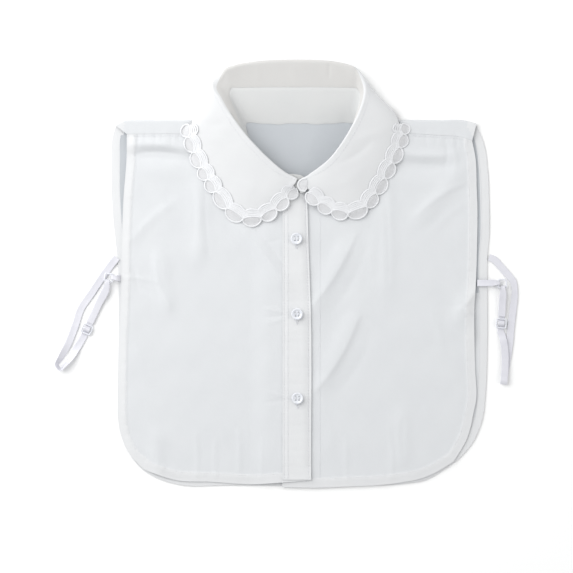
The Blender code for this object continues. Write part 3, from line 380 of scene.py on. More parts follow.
def round_bar(ring, turn, side, shift):
    """Tape rows round one of a ring's bars: in under it, round its far side and back
    over it. side 0 is the bar at the ring's +X and -90 the one at its -Y; shift moves
    the tape along the bar."""
    angle = math.radians(turn + side)
    away = (math.cos(angle), math.sin(angle))
    reach = (RING_SIZE - RING_WIRE) / 2
    rows = []
    for along, rise, width in ((4.5, -1.0, 0.85), (0.9, -1.0, BAR_WIDTH),
                               (-DIAGONAL * BAR_TURN, -DIAGONAL, BAR_WIDTH),
                               (-BAR_TURN, 0.0, BAR_WIDTH),
                               (-DIAGONAL * BAR_TURN, DIAGONAL, BAR_WIDTH),
                               (0.9, 1.0, BAR_WIDTH), (4.5, 0.9, 0.85)):
        rows.append((ring[0] + away[0] * (reach + along) - away[1] * shift,
                     ring[1] + away[1] * (reach + along) + away[0] * shift,
                     ring[2] + rise * BAR_TURN, 0.0, width))
    return rows


def strap_route(run, slider, ring, turn, tab):
    """The whole tape: the run, over the slider's bar, round the ring's lower bar and
    back along itself to the slider."""
    turned = round_bar(ring, turn, -90, BAR_SHIFT if tab[0] > 0 else -BAR_SHIFT)
    dx, dy = turned[0][0] - slider[0], turned[0][1] - slider[1]
    length = math.hypot(dx, dy)
    dx, dy = dx / length, dy / length
    rows = list(run)
    for along, rise, width in SLIDER_PASS:
        rows.append((slider[0] + dx * along, slider[1] + dy * along, slider[2] + rise, 0.0, width))
    middle = (SLIDER_BEHIND + length) / 2
    rows.append((slider[0] + dx * middle, slider[1] + dy * middle, STRAP_LOW, 0.0, 1.0))
    rows += turned
    for along, rise in ((middle, STRAP_HIGH), (10.0, STRAP_END), (7.0, STRAP_END)):
        rows.append((slider[0] + dx * along, slider[1] + dy * along, rise, 0.0, 1.0))
    return rows


def tab_route(ring, turn, tab):
    """The short front tab: from the front's edge over the ring's near bar, round it
    and back under for a few millimetres."""
    side, shift = (0, BAR_SHIFT) if tab[0] < 0 else (180, -BAR_SHIFT)
    rows = round_bar(ring, turn, side, shift)[::-1]
    start = (*tab, 0.0, 0.95)
    between = [(a + b) / 2 for a, b in zip(start, rows[0])]
    between[1] = tab[1]
    between[2] += 0.3
    return [start, tuple(between)] + rows


# --- fine relief: what the solids leave out ------------------------------------
# Creases, thinner than the folds: both ends, how far the line bows aside, half
# width, height (below 0 is a trough) and how much steeper one side is, mm.
CREASES = (
    # x0, y0, x1, y1, bow, half, height, skew
    # left front
    (-148.0, 118.5, -98.0, 114.0, 2.5, 5.4, -1.60, 0.3),
    (-149.0, 129.0, -106.0, 126.0, 1.5, 5.2, 2.6, 0.0),
    (-140.0, 103.0, -106.0, 100.0, 2.0, 8.0, 0.8, 0.0),
    (-92.0, 112.0, -60.0, 104.0, -2.0, 4.5, 0.35, 0.0),
    (-149.0, 38.0, -116.0, 68.0, 2.0, 5.0, 0.75, 0.4),
    (-134.0, 88.0, -120.0, 60.0, 3.0, 6.0, 0.45, -0.3),
    (-152.0, 2.0, -139.0, -18.0, -4.0, 3.2, -0.60, 0.5),
    (-157.0, -4.0, -132.0, -8.0, 1.0, 2.4, 0.45, 0.0),
    (-131.0, 15.0, -118.0, -31.0, -4.0, 3.4, 0.60, 0.5),
    (-82.0, 86.0, -79.0, 24.0, -1.5, 3.6, -0.45, 0.4),
    (-94.0, 80.0, -93.0, 40.0, 1.5, 3.0, -0.30, 0.0),
    (-52.0, 47.0, -8.0, -3.0, 3.0, 3.5, 0.55, 0.5),
    (-38.0, 50.0, -5.0, 10.0, 2.0, 2.6, -0.45, 0.3),
    (-62.0, 40.0, -30.0, -4.0, 3.0, 5.0, 0.35, 0.0),
    (-20.0, -35.0, -5.0, -38.5, 0.6, 1.8, 0.38, 0.0),
    (-21.0, -43.0, -5.0, -41.5, -0.6, 1.7, -0.34, 0.0),
    (-17.0, -49.0, -5.0, -45.5, -0.6, 1.7, 0.32, 0.0),
    (-18.0, 31.0, -5.0, 34.5, 0.5, 1.8, -0.30, 0.0),
    (-17.0, -119.0, -5.0, -122.5, 0.5, 1.8, 0.32, 0.0),
    (-19.0, -128.0, -5.0, -126.0, -0.5, 1.8, -0.30, 0.0),
    (-136.0, -180.0, -116.0, -198.0, -2.0, 3.2, 0.55, 0.4),
    (-146.0, -160.0, -120.0, -186.0, 3.0, 5.0, -0.35, 0.0),
    (-90.5, -163.0, -90.0, -199.0, 1.0, 2.8, 0.40, 0.3),
    (-70.5, -170.0, -71.0, -200.0, -1.0, 2.6, 0.34, 0.0),
    (-47.5, -160.0, -48.0, -202.0, 1.2, 3.0, 0.42, -0.3),
    (-24.5, -168.0, -24.0, -203.0, -0.8, 2.6, 0.34, 0.0),
    (-104.0, -60.0, -62.0, -96.0, 4.0, 7.0, 0.32, 0.3),
    (-150.0, -70.0, -128.0, -112.0, -5.0, 7.0, 0.36, 0.0),
    (-44.0, -78.0, -22.0, -128.0, 3.0, 6.0, 0.30, 0.3),
    # right front
    (106.0, 111.5, 157.0, 106.5, -2.5, 4.8, -1.20, 0.3),
    (110.0, 122.5, 158.0, 118.0, -2.0, 5.2, 2.5, 0.0),
    (112.0, 95.0, 150.0, 91.0, -2.0, 8.0, 0.8, 0.0),
    (158.1, 132.0, 158.1, 109.0, 2.2, 2.4, -0.55, 0.4),
    (166.0, 128.0, 168.0, 104.0, 2.0, 2.8, 0.40, 0.0),
    (175.0, 90.0, 131.0, 60.0, -3.0, 3.4, 0.60, 0.5),
    (182.0, 72.0, 150.0, 46.0, -2.0, 4.0, 0.35, 0.0),
    (96.0, 88.0, 101.0, -8.0, 2.0, 3.0, -0.42, 0.4),
    (92.0, 60.0, 86.0, 8.0, -2.0, 5.0, 0.35, 0.0),
    (67.0, 36.0, 27.0, -29.0, 3.0, 3.4, 0.60, 0.5),
    (78.0, 22.0, 48.0, -34.0, 3.0, 4.5, -0.35, 0.0),
    (70.0, -46.0, 30.0, -114.0, 4.0, 3.4, 0.62, 0.5),
    (84.0, -60.0, 56.0, -112.0, 4.0, 5.0, -0.32, 0.0),
    (188.0, -16.0, 175.0, -33.0, 1.5, 2.8, 0.60, 0.3),
    (175.0, -33.0, 188.0, -48.0, 1.5, 2.8, 0.55, 0.3),
    (184.0, -32.0, 168.0, -32.0, 0.0, 3.0, -0.40, 0.0),
    (146.0, -44.0, 154.0, -72.0, 2.0, 4.5, 0.42, 0.3),
    (102.0, -158.0, 105.0, -202.0, 1.5, 3.0, 0.45, 0.4),
    (116.5, -150.0, 117.0, -178.0, -1.0, 2.6, -0.40, 0.0),
    (60.0, -168.0, 61.0, -204.0, -1.0, 3.0, 0.36, 0.0),
    (138.0, -130.0, 160.0, -168.0, -4.0, 6.0, 0.34, 0.3),
    (36.0, -130.0, 44.0, -176.0, 3.0, 5.0, 0.30, 0.0),
    (150.0, 20.0, 172.0, -8.0, 3.0, 6.0, 0.30, 0.0),
    # round both ends of the shoulder seam
    (-157.5, 146.0, -157.0, 131.0, 0.5, 1.8, -0.34, 0.0),
    (-149.0, 146.0, -148.0, 128.0, 0.5, 1.9, -0.40, 0.0),
    (-140.5, 145.0, -141.0, 132.0, -0.5, 1.7, -0.32, 0.0),
    (-132.0, 146.0, -131.0, 129.0, 0.5, 2.0, -0.40, 0.0),
    (-124.0, 145.0, -124.5, 133.0, 0.0, 1.7, -0.30, 0.0),
    (-115.5, 146.0, -115.0, 130.0, 0.5, 1.9, -0.36, 0.0),
    (-107.0, 145.0, -107.5, 133.0, 0.0, 1.8, -0.30, 0.0),
    (-99.5, 146.0, -99.0, 131.0, 0.5, 1.9, -0.34, 0.0),
    (-84.0, 146.0, -83.0, 134.0, 0.0, 1.9, -0.28, 0.0),
    (128.0, 146.0, 127.0, 132.0, 0.5, 1.9, -0.32, 0.0),
    (139.5, 146.0, 140.0, 130.0, -0.5, 1.9, -0.34, 0.0),
    (150.0, 145.0, 149.0, 131.0, 0.5, 1.8, -0.30, 0.0),
    (168.5, 144.0, 170.0, 126.0, 0.5, 2.0, -0.40, 0.0),
    (180.0, 141.0, 179.0, 129.0, 0.0, 1.8, 0.30, 0.0),
)
# Creases of the back panel, which shows inside the neck and past both armholes
BACK_CREASES = (
    (-20.0, 140.0, 6.0, 104.0, 3.0, 5.0, 0.30, 0.3),
    (34.0, 146.0, 22.0, 112.0, -3.0, 5.0, 0.34, 0.0),
    (-46.0, 148.0, -34.0, 126.0, 2.0, 3.5, 0.24, 0.0),
    (-172.0, 70.0, -160.0, 52.0, 2.0, 4.0, 0.30, 0.0),
    (-173.0, 118.0, -163.0, 96.0, -2.0, 4.0, 0.30, 0.0),
    (200.0, 66.0, 190.0, 40.0, 2.0, 4.5, 0.30, 0.0),
    (199.0, -60.0, 190.0, -92.0, -2.0, 5.0, 0.30, 0.0),
    (-120.0, -60.0, -60.0, -120.0, 6.0, 9.0, 0.30, 0.0),
    (60.0, 20.0, 130.0, -70.0, -8.0, 10.0, 0.30, 0.0),
    (-60.0, 60.0, -30.0, -40.0, 6.0, 9.0, 0.28, 0.0),
)
# Creases of the leaf, on its outer side
LEAF_CREASES = (
    (81.5, 129.0, 53.0, 111.0, 2.0, 3.0, -0.45, 0.4),
    (92.0, 140.0, 66.0, 130.0, -2.0, 4.0, 0.40, 0.0),
    (74.0, 104.0, 48.0, 88.0, 2.0, 4.0, 0.25, 0.3),
    (-72.0, 136.0, -44.0, 112.0, 3.0, 4.5, 0.30, 0.3),
    (-52.0, 92.0, -24.0, 78.0, 2.0, 4.5, 0.26, 0.0),
    (-86.0, 150.0, -60.0, 150.0, -2.0, 4.0, -0.35, 0.0),
    (-40.0, 70.0, -28.0, 96.0, 2.0, 5.0, 0.22, 0.0),
    (41.5, 212.0, 42.5, 198.0, 0.6, 1.6, -0.60, 0.0),
    (-30.0, 212.0, -28.0, 196.0, 0.8, 3.0, 0.30, 0.0),
    (8.0, 213.0, 10.0, 190.0, -0.8, 4.0, 0.24, 0.0),
)
# A gentle unevenness all over: wavelength, heading in degrees, phase, height
RIPPLES = ((61.0, 17.0, 0.4, 0.10), (43.0, 104.0, 2.1, 0.08), (29.0, 63.0, 1.3, 0.05),
           (23.0, 148.0, 4.0, 0.04), (17.0, 35.0, 5.2, 0.025))
PUCKERS = ((6.3, 0.3), (9.1, 1.9), (14.7, 4.1))     # along a seam: wavelength, phase
PUCKER_HEIGHT, PUCKER_SPREAD = 0.055, 3.8
ARMHOLE_BAND, HEM_BAND = 8.6, 9.6      # width of the turned bands
BAND_STEP = 0.32                       # a band's two layers stand proud by this
BAND_WALL = 0.35                       # what a layer turned under adds to the cloth
STITCHES_IN = 0.9                      # a band's stitches lie this far from its inner edge
GROOVE, GROOVE_SPREAD = 0.16, 0.7      # depth of the groove that they pull
SEAM_STITCHES = 2.0                    # the stitches below a shoulder seam, down from it
SEAM_GROOVE, SEAM_GROOVE_HALF = 0.12, 3.0          # depth and half width of their groove
SHEET = 0.5                            # wall of a shown layer of cloth
SEAM_CLEAR = 0.12                      # between the cloth of two panels at a seam
SEAM_LIFT = 0.15                       # the shoulders end this far above the fronts' middle
RIM_ANGLE = math.radians(50)           # steeper than this between faces is an edge
EDGE_DROP, EDGE_DROP_IN = 0.6, 9.0     # a front's edges lie down on the back panel
FRONT_DROP = 0.85                      # how far the left front's edge lies down on the right
BACK_EASE = 0.3                        # a front nears the back panel softly from this high
PLACKET_LIFT = CLOTH + LAYER_GAP - 0.55            # the band's middle above its front's
PLACKET_RIPPLES = ((21.0, 0.7, 0.05), (8.3, 0.0, 0.04))     # wavelength, phase, height
PLACKET_RIDGE, PLACKET_GROOVE = (0.0, 1.2, 0.14), (2.6, 0.8, -0.1)  # in, spread, height
FACING_X = 33.5                        # the stitches of the right front's turned facing
BACK_STITCHES = 7.6                    # those of the back's armholes, in from the edge
LEAF_STITCHES = 0.07                   # those below the roll, as a share across the leaf
STAND_REST = 0.20                      # the stand's lower edge, its middle above the back
STAND_LAP = 0.4                        # how far the stand's top goes in behind the leaf
STAND_RIM = 0.14                       # the stand's wall at its two seams
STITCH_PITCH, STITCH_LENGTH, STITCH_RADIUS = 2.9, 2.25, 0.2
# Round the neck: where the inner wall of the leaf starts to be wide at the left corner,
# is wide from and to, and ends being wide
WIDE_CORNER = (0.225, 0.262, 0.32, 0.36)

# The stand's ends between the leaf's ends: the lower and the upper edge of each, X and
# Y, its height at TONGUE_Y and how much its upper edge is rolled
TONGUE_Y, TONGUE_SLOPE, TONGUE_WALL = 93.0, 0.10, 0.32
STAND_ENDS = (
    ("end_under", ((-1.0, 92.0), (4.0, 88.5), (9.0, 85.0), (20.0, 85.0)),
     ((-1.0, 96.5), (3.0, 99.2), (9.0, 99.2), (14.0, 98.3), (20.0, 94.8)), 7.75, 0.22),
    ("end_over", ((9.8, 88.0), (12.2, 84.5), (13.8, 81.0), (19.0, 81.2)),
     ((9.8, 91.6), (12.0, 91.8), (14.5, 91.4), (17.0, 90.0)), 10.4, 0.0),
)

# --- the lace ------------------------------------------------------------------
SCALLOP_PITCH, SCALLOP_STEPS = 15.3, 22
INNER_REACH, INNER_DEPTH = 7.4, 2.8    # its inner scallops, on the leaf
OUTER_REACH, OUTER_DEPTH = 9.9, 6.2    # its outer ones, past the leaf's edge
# columns of a stretch of trim, as distances from the leaf's edge
REACHES = np.concatenate((np.linspace(-9.0, -0.5, 14), np.linspace(0.0, 11.0, 18)))
# its middle above the leaf's, the height of its waves and how far it is narrowed
FRONT_TRIM, BACK_TRIM = (0.64, 0.2, 0.0), (1.2, 0.0, 0.68)
TRIM_FALL = 2.0                        # how much of its height the outer rim can lose
TRIM_CLEAR = 0.8                       # its middle stays this far above a front's
TRIM_REST = 0.8                        # and this far above the table
GROUND = 0.14                          # wall of the sheer ground
CORD_SIDE, CORD_UP = 0.80, 0.40        # half width and half height of a corded rim
CORD_LIES = 0.1                        # a cord's middle is half CORD_UP and this up
PETAL = (4, 176)                       # a petal's ends, degrees from along the edge
# The ribbed cord along the inner scallops: how far each rib lies inside the rim, its
# half width, and its share of CORD_UP
RIBS = ((0.0, 0.95, 1.0), (1.9, 0.9, 0.7), (3.7, 0.95, 0.5), (5.6, 0.95, 0.6),
        (7.4, 0.9, 0.8))
RIB_START, RIB_END, RIB_DIVE = -0.10, 1.04, 9.0    # a rib's ends, and its slope before 0
# The trim's last scallop on the right leaf: its middle, its radius, the angles of its
# ends, where its ground ends on the leaf, its greatest height and its fall
LOOP_X, LOOP_Y, LOOP_RADIUS, LOOP_ENDS = 17.6, 88.4, 6.1, (72, 285)
LOOP_GROUND_X, LOOP_GROUND_Y = 20.6, (93.6, 84.4)
LOOP_HEIGHT, LOOP_TOP_Y, LOOP_FALL = 13.2, 94.5, 0.15

# --- buttons and fittings -------------------------------------------------------
# A button's section: shares of its radius and of its height
BUTTON_PROFILE = ((0.0, 0.56), (0.30, 0.56), (0.50, 0.57), (0.60, 0.62), (0.68, 0.76),
                  (0.75, 0.91), (0.82, 0.985), (0.88, 1.0), (0.94, 0.96), (0.985, 0.85),
                  (1.0, 0.70), (0.985, 0.55), (0.94, 0.36), (0.86, 0.14), (0.78, 0.06),
                  (0.0, 0.06))
BUTTON_STEPS, BUTTON_RIM = 56, math.radians(38)
# Its thread, from hole to hole: share of half their pitch, height above its well
BUTTON_THREAD = np.array(((-1.1, -1.3), (-1.0, -0.2), (-0.75, 0.32), (0.0, 0.48),
                          (0.75, 0.32), (1.0, -0.2), (1.1, -1.3)))
THREAD_RADIUS, THREAD_APART = 0.27, 0.28
BUTTONHOLE_LENGTH, BUTTONHOLE_SHIFT = 14.0, (0.2, -3.0)
SATIN_PITCH, SATIN_SIDE, SATIN_UP = 0.42, 0.25, 0.2        # a buttonhole's stitches
LIP_OFFSET, LIP_HALF, BAR_HALF, BAR_STITCHES = 0.78, 0.52, 1.35, 3
# Across a tape from edge to edge: share of half its width, wall of the woven tape
TAPE_SECTION = np.array(((-1.0, 0.3), (-0.97, 0.55), (-0.88, 0.66), (-0.6, 0.5), (-0.3, 0.48),
                         (0.0, 0.48), (0.3, 0.48), (0.6, 0.5), (0.88, 0.66), (0.97, 0.55),
                         (1.0, 0.3)))
TAPE_CUP = 0.12                        # a tape's edges stand up by this
TAPE_CELL = 1.1                        # a tape's rows are closer than this
TAPE_STEEP = 0.3                       # steeper than this cosine, it keeps its own turn
LOOP_STEPS, BAR_SIDES = 6, 12          # steps in a moulded corner, sides of a moulded bar


def crease_height(x, y, table):
    """Sum of the table's creases: across each bowed line a bell that is steeper on
    one side, exp(-a^2) (1 + skew a exp(-a^2)) with a = across / half, highest halfway
    along the line and faded past its ends."""
    height = np.zeros_like(x)
    for x0, y0, x1, y1, bow, half, rise, skew in table:
        length = math.hypot(x1 - x0, y1 - y0)
        ux, uy = (x1 - x0) / length, (y1 - y0) / length
        along = ((x - x0) * ux + (y - y0) * uy) / length
        inside = np.clip(along, 0.0, 1.0)
        across = (y - y0) * ux - (x - x0) * uy - bow * 4 * inside * (1 - inside)
        a = across / half
        beyond = np.abs(along - inside) * length / (2.0 * half)
        taper = 0.35 + 0.65 * np.sin(math.pi * (0.15 + 0.7 * inside))
        height += rise * taper * np.exp(-a * a - beyond ** 2) * (1 + skew * a * np.exp(-a * a))
    return height


def ripple_height(x, y):
    """Sum of height sin(2 pi (x cos + y sin) / wavelength + phase)."""
    height = np.zeros_like(x)
    for wave, heading, phase, rise in RIPPLES:
        a = math.radians(heading)
        run = x * math.cos(a) + y * math.sin(a)
        height += rise * np.sin(2 * math.pi * run / wave + phase)
    return height


def to_line(x, y, line):
    """Distance of every point from an outline (rows of X, Y), and how far along the
    outline its nearest point lies, mm."""
    flat = np.stack((np.ravel(x), np.ravel(y)), axis=1)
    near, along = np.full(len(flat), 1e9), np.zeros(len(flat))
    done = 0.0
    for start, end in zip(line[:-1, :2], line[1:, :2]):
        run = end - start
        length = math.hypot(*run)
        t = np.clip(((flat - start) @ run) / length ** 2, 0.0, 1.0)
        gap = np.hypot(*(flat - start - t[:, None] * run).T)
        closer = gap < near
        near = np.where(closer, gap, near)
        along = np.where(closer, done + t * length, along)
        done += length
    return near.reshape(np.shape(x)), along.reshape(np.shape(x))


def band_height(x, y, line, width):
    """A turned edge: it stands proud by BAND_STEP as far in as its stitches, dips in
    their groove and is gathered a little along them."""
    gap, along = to_line(x, y, line)
    step = BAND_STEP * (1 - smoothstep(gap, width - 0.7, width + 0.9))
    groove = -GROOVE * np.exp(-((gap - width + STITCHES_IN) / GROOVE_SPREAD) ** 2)
    waves = sum(np.sin(2 * math.pi * along / wave + phase) for wave, phase in PUCKERS)
    pucker = PUCKER_HEIGHT * waves * np.exp(-((gap - width + 1.0) / PUCKER_SPREAD) ** 2)
    return step + groove + pucker


EDGES = {name: spline(table, shares(90)) for name, table in (
    ("left_armhole", LEFT_ARMHOLE), ("left_hem", LEFT_HEM), ("right_armhole", RIGHT_ARMHOLE),
    ("right_hem", RIGHT_HEM), ("back_left", BACK_LEFT), ("back_right", BACK_RIGHT),
    ("back_hem", BACK_HEM), ("left_seam", LEFT_SEAM), ("right_seam", RIGHT_SEAM))}


def from_edge(x, y, *names):
    """Distance of every point from the nearest of some of EDGES, mm."""
    return np.minimum.reduce([to_line(x, y, EDGES[name])[0] for name in names])


def front_relief(x, y):
    """The fronts' fine creases, the ripple, and a straight-sided groove along the
    stitches below the shoulder seams."""
    seam = np.maximum(0.0, 1 - np.abs(y - SEAM_Y + SEAM_STITCHES) / SEAM_GROOVE_HALF)
    return crease_height(x, y, CREASES) + ripple_height(x, y) - SEAM_GROOVE * seam


def banded(x, y, side):
    """The taller of a front's two turned bands, down its armhole and along its hem,
    less the drop of its edges towards the back panel. The left front has neither under
    the buttonhole band."""
    bands = np.maximum(band_height(x, y, EDGES[side + "_armhole"], ARMHOLE_BAND),
                       band_height(x, y, EDGES[side + "_hem"], HEM_BAND))
    gap = from_edge(x, y, side + "_armhole", side + "_hem")
    drop = EDGE_DROP * (1 - smoothstep(gap, 0.0, EDGE_DROP_IN))
    if side == "left":
        bands = bands * (1 - smoothstep(x, PLACKET_LEFT - 2.0, PLACKET_LEFT + 1.0))
        drop = drop * (1 - smoothstep(x, PLACKET_LEFT - 22.0, PLACKET_LEFT - 6.0))
    return bands - drop


def front_edge(y):
    """X of the left front's front edge at a Y."""
    at = np.array(LEFT_FRONT)
    return np.interp(y, at[:, 1], at[:, 0])


def clear_of_back(height, x, y):
    """The height, but no lower than the cloth of the back panel lets a front lie. It
    nears that on least + ease exp((height - least) / ease - 1)."""
    least = back_cloth(x, y) + SHEET + SEAM_CLEAR
    above = height - least
    near = (above < BACK_EASE) & (y < SEAM_Y - 6.0)
    eased = BACK_EASE * np.exp(np.minimum(above, BACK_EASE) / BACK_EASE - 1)
    return np.where(near, least + eased, height)


def lies_down(x, y):
    """From 0 to 1 towards the left front's front edge, but not at its hem."""
    return (1 - smoothstep(front_edge(y) - x, 0.0, 8.0)) * smoothstep(y, -204.0, -190.0)


def left_cloth(x, y):
    """Height of the middle of the left front's cloth as it is shown. Its front edge
    lies down on the right front."""
    drop = FRONT_DROP * lies_down(x, y)
    height = left_front_height(x, y) + front_relief(x, y) + banded(x, y, "left") - drop
    return clear_of_back(height, x, y)


def right_cloth(x, y):
    """The same of the right front."""
    height = right_front_height(x, y) + front_relief(x, y) + banded(x, y, "right")
    return clear_of_back(height, x, y)


def placket_cloth(x, y):
    """The buttonhole band on the left front, with two slight ripples of its own. It
    lies down along both its edges, and along the front edge with the front."""
    ripple = sum(rise * np.sin(2 * math.pi * y / wave + phase)
                 for wave, phase, rise in PLACKET_RIPPLES)
    drop = (FRONT_DROP + 0.2) * lies_down(x, y)
    drop = drop + 0.3 * (1 - smoothstep(x - PLACKET_LEFT, 0.0, 5.0))
    on_front = left_front_height(x, y) + 0.6 * front_relief(x, y)
    return on_front + PLACKET_LIFT + ripple - drop


# --- meshes --------------------------------------------------------------------
def new_object(name, data):
    """An object of some data, in the scene."""
    obj = bpy.data.objects.new(name, data)
    bpy.context.scene.collection.objects.link(obj)
    return obj


def mesh_object(name, points, quads, material):
    """A mesh from points (mm) and quads, smooth, in the scene and on the body."""
    used, index = np.unique(quads, return_inverse=True)
    points, quads = points[used], index.reshape(-1, 4)
    mesh = bpy.data.meshes.new(name)
    mesh.vertices.add(len(points))
    mesh.vertices.foreach_set("co", (points * MM).astype(np.float32).ravel())
    mesh.loops.add(quads.size)
    mesh.loops.foreach_set("vertex_index", quads.astype(np.int32).ravel())
    mesh.polygons.add(len(quads))
    mesh.polygons.foreach_set("loop_start", np.arange(0, quads.size, 4, dtype=np.int32))
    mesh.update(calc_edges=True)
    mesh.validate()
    mesh.shade_smooth()
    mesh.materials.append(material)
    obj = new_object(name, mesh)
    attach(obj, "root")
    return obj


def normals_of(grid):
    """Unit normals of a grid of points: (change along columns) x (change along rows)."""
    return unit(np.cross(np.gradient(grid, axis=1), np.gradient(grid, axis=0)))


def shell(name, grid, wall, material, keep=None):
    """A closed shell of cloth on a grid of middle points, rows by columns. Its two
    faces lie at middle +- normal * wall / 2, and quads close the rim, which is sharp.
    keep says which cells of the grid there are."""
    rows, columns = grid.shape[:2]
    half = normals_of(grid) * (np.broadcast_to(wall, (rows, columns)) / 2)[..., None]
    points = np.concatenate(((grid + half).reshape(-1, 3), (grid - half).reshape(-1, 3)))
    index = np.arange(rows * columns).reshape(rows, columns)
    a, b, c, d = index[:-1, :-1], index[:-1, 1:], index[1:, 1:], index[1:, :-1]
    kept = np.ones(a.shape, bool) if keep is None else keep
    top = np.stack((a, b, c, d), axis=-1)[kept]
    below = rows * columns
    quads = [top, top[:, ::-1] + below]
    beside = np.pad(kept, 1)
    for first, second, there in ((a, b, beside[:-2, 1:-1]), (b, c, beside[1:-1, 2:]),
                                 (c, d, beside[2:, 1:-1]), (d, a, beside[1:-1, :-2])):
        p, q = first[kept & ~there], second[kept & ~there]
        quads.append(np.stack((q, p, p + below, q + below), axis=-1))
    obj = mesh_object(name, points, np.concatenate(quads), material)
    obj.data.set_sharp_from_angle(angle=RIM_ANGLE)
    return obj


def sweep(points, side, up, sides, ends):
    """Points and quads of a tube: round each point an oval with the half axes side
    and up (vectors, mm). ends is True for tapered ends, False for a closed loop."""
    count = len(points)
    turn = np.arange(sides) * 2 * math.pi / sides
    ring = np.cos(turn)[None, :, None] * side[:, None] + np.sin(turn)[None, :, None] * up[:, None]
    if ends:
        shrink = np.ones(count)
        shrink[[0, -1]] = 0.05
        ring = ring * shrink[:, None, None]
    tube = (points[:, None] + ring).reshape(-1, 3)
    index = np.arange(count * sides).reshape(count, sides)
    last = index[:-1] if ends else index
    after = index[1:] if ends else np.roll(index, -1, axis=0)
    quads = np.stack((last, np.roll(last, -1, axis=1), np.roll(after, -1, axis=1), after), axis=-1)
    quads = quads.reshape(-1, 4)
    if ends:
        caps = [index[0, [0, k + 1, k, k - 1]][None] for k in range(2, sides - 1, 2)]
        caps += [index[-1, [0, k - 1, k, k + 1]][None] for k in range(2, sides - 1, 2)]
        quads = np.concatenate([quads] + caps)
    return tube, quads


def merged(parts):
    """Several (points, quads) as one."""
    points, quads, done = [], [], 0
    for some_points, some_quads in parts:
        points.append(some_points)
        quads.append(some_quads + done)
        done += len(some_points)
    return np.concatenate(points), np.concatenate(quads)


def resampled(line, spacing):
    """A line of points again, at even spacing."""
    steps = np.linalg.norm(np.diff(line, axis=0), axis=1)
    run = np.concatenate(([0.0], np.cumsum(steps)))
    at = np.linspace(0.0, run[-1], max(2, int(round(run[-1] / spacing)) + 1))
    return np.stack([np.interp(at, run, line[:, k]) for k in range(line.shape[1])], axis=1)


def stitches(line):
    """A row of stitches along a line of points on the cloth: short plump threads that
    dive in at both ends, each 6-sided with 5 rings."""
    marks = resampled(line, STITCH_PITCH)
    heading = unit(np.diff(marks, axis=0))
    middle = (marks[:-1] + marks[1:]) / 2
    side = unit(np.cross(heading, (0.0, 0.0, 1.0)))
    up = np.cross(side, heading)
    parts = []
    places = np.array((-0.5, -0.36, 0.0, 0.36, 0.5)) * STITCH_LENGTH
    sinks = np.array((-0.9, -0.1, 0.25, -0.1, -0.9)) * STITCH_RADIUS
    for m, h, s, u in zip(middle, heading, side, up):
        points = m + places[:, None] * h + sinks[:, None] * u
        parts.append(sweep(points, np.tile(s * STITCH_RADIUS, (5, 1)),
                           np.tile(u * STITCH_RADIUS, (5, 1)), 6, True))
    return merged(parts)


def on_cloth(line, cloth, lift):
    """A plan line (rows of X, Y) laid on a cloth's upper face."""
    x, y = line[:, 0], line[:, 1]
    return np.column_stack((x, y, cloth(x, y) + lift))


def inset(line, distance):
    """A plan line moved sideways: to its left for a distance above 0."""
    heading = unit(np.gradient(line[:, :2], axis=0))
    return line[:, :2] + distance * np.column_stack((-heading[:, 1], heading[:, 0]))


def steps(ends, cells):
    """Shares from 0 to 1 in stretches: their ends, and the cells in each."""
    at = [np.linspace(a, b, n + 1)[1:] for a, b, n in zip(ends[:-1], ends[1:], cells)]
    return np.concatenate([[0.0]] + at)


# --- materials -------------------------------------------------------------------
BAND_SCALE = math.pi / 10              # scale of a wave texture with a band to a metre
# Thread spacings, m. Shirting has about 45 threads a cm; drawn at two to a band. The net
# of organza and the ribs of satin tape are finer than these, which just show.
SHIRTING_PERIOD, ORGANZA_PERIOD, SATIN_PERIOD = 0.00042, 0.00055, 0.0006


def colour(code):
    """A screen colour such as "e9ebee" as linear light."""
    levels = np.array([int(code[k:k + 2], 16) for k in (0, 2, 4)]) / 255
    light = np.where(levels <= 0.04045, levels / 12.92, ((levels + 0.055) / 1.055) ** 2.4)
    return (*light.tolist(), 1.0)


def node(tree, kind, settings=(), **inputs):
    """Adds a node; inputs are numbers or sockets, by name with _ for a space, or by
    place with _ before it."""
    made = tree.nodes.new("ShaderNode" + kind)
    for key, value in dict(settings).items():
        setattr(made, key, value)
    for key, value in inputs.items():
        name = int(key[1:]) if key[1:].isdigit() else key.replace("_", " ")
        socket = made.inputs[name]
        if isinstance(value, bpy.types.NodeSocket):
            tree.links.new(value, socket)
        else:
            socket.default_value = value
    return made


def blank(name, **constants):
    """A material with a Principled shader, its constants set on the shader's sockets,
    and the place on the object (m) that its patterns read."""
    material = bpy.data.materials.new(name)
    material.use_nodes = True
    shader = material.node_tree.nodes["Principled BSDF"]
    for key, value in constants.items():
        shader.inputs[key.replace("_", " ")].default_value = value
    place = node(material.node_tree, "TexCoord").outputs["Object"]
    return material, material.node_tree, shader, place


def noise(tree, place, scale, detail=2.0, roughness=0.5):
    """A noise texture's value; its blobs are 1 / scale m wide."""
    return node(tree, "TexNoise", Vector=place, Scale=scale, Detail=detail,
                Roughness=roughness).outputs["Fac"]


def coloured(tree, shader, share, first, second):
    """Colours the shader between two colours, by a share from 0 to 1."""
    made = node(tree, "Mix", {"data_type": "RGBA"}, Factor=share, _6=first, _7=second)
    tree.links.new(made.outputs[2], shader.inputs["Base Color"])


def threads(tree, place, period):
    """Plain weave as a height: two sets of bands at a period in metres, the larger of
    the two on top."""
    bands = [node(tree, "TexWave", {"bands_direction": axis}, Vector=place,
                  Scale=BAND_SCALE / period, Distortion=0.35, Detail=1.0,
                  Detail_Scale=0.6).outputs["Fac"]
             for axis in ("X", "Y")]
    return node(tree, "Math", {"operation": "MAXIMUM"}, _0=bands[0], _1=bands[1]).outputs[0]


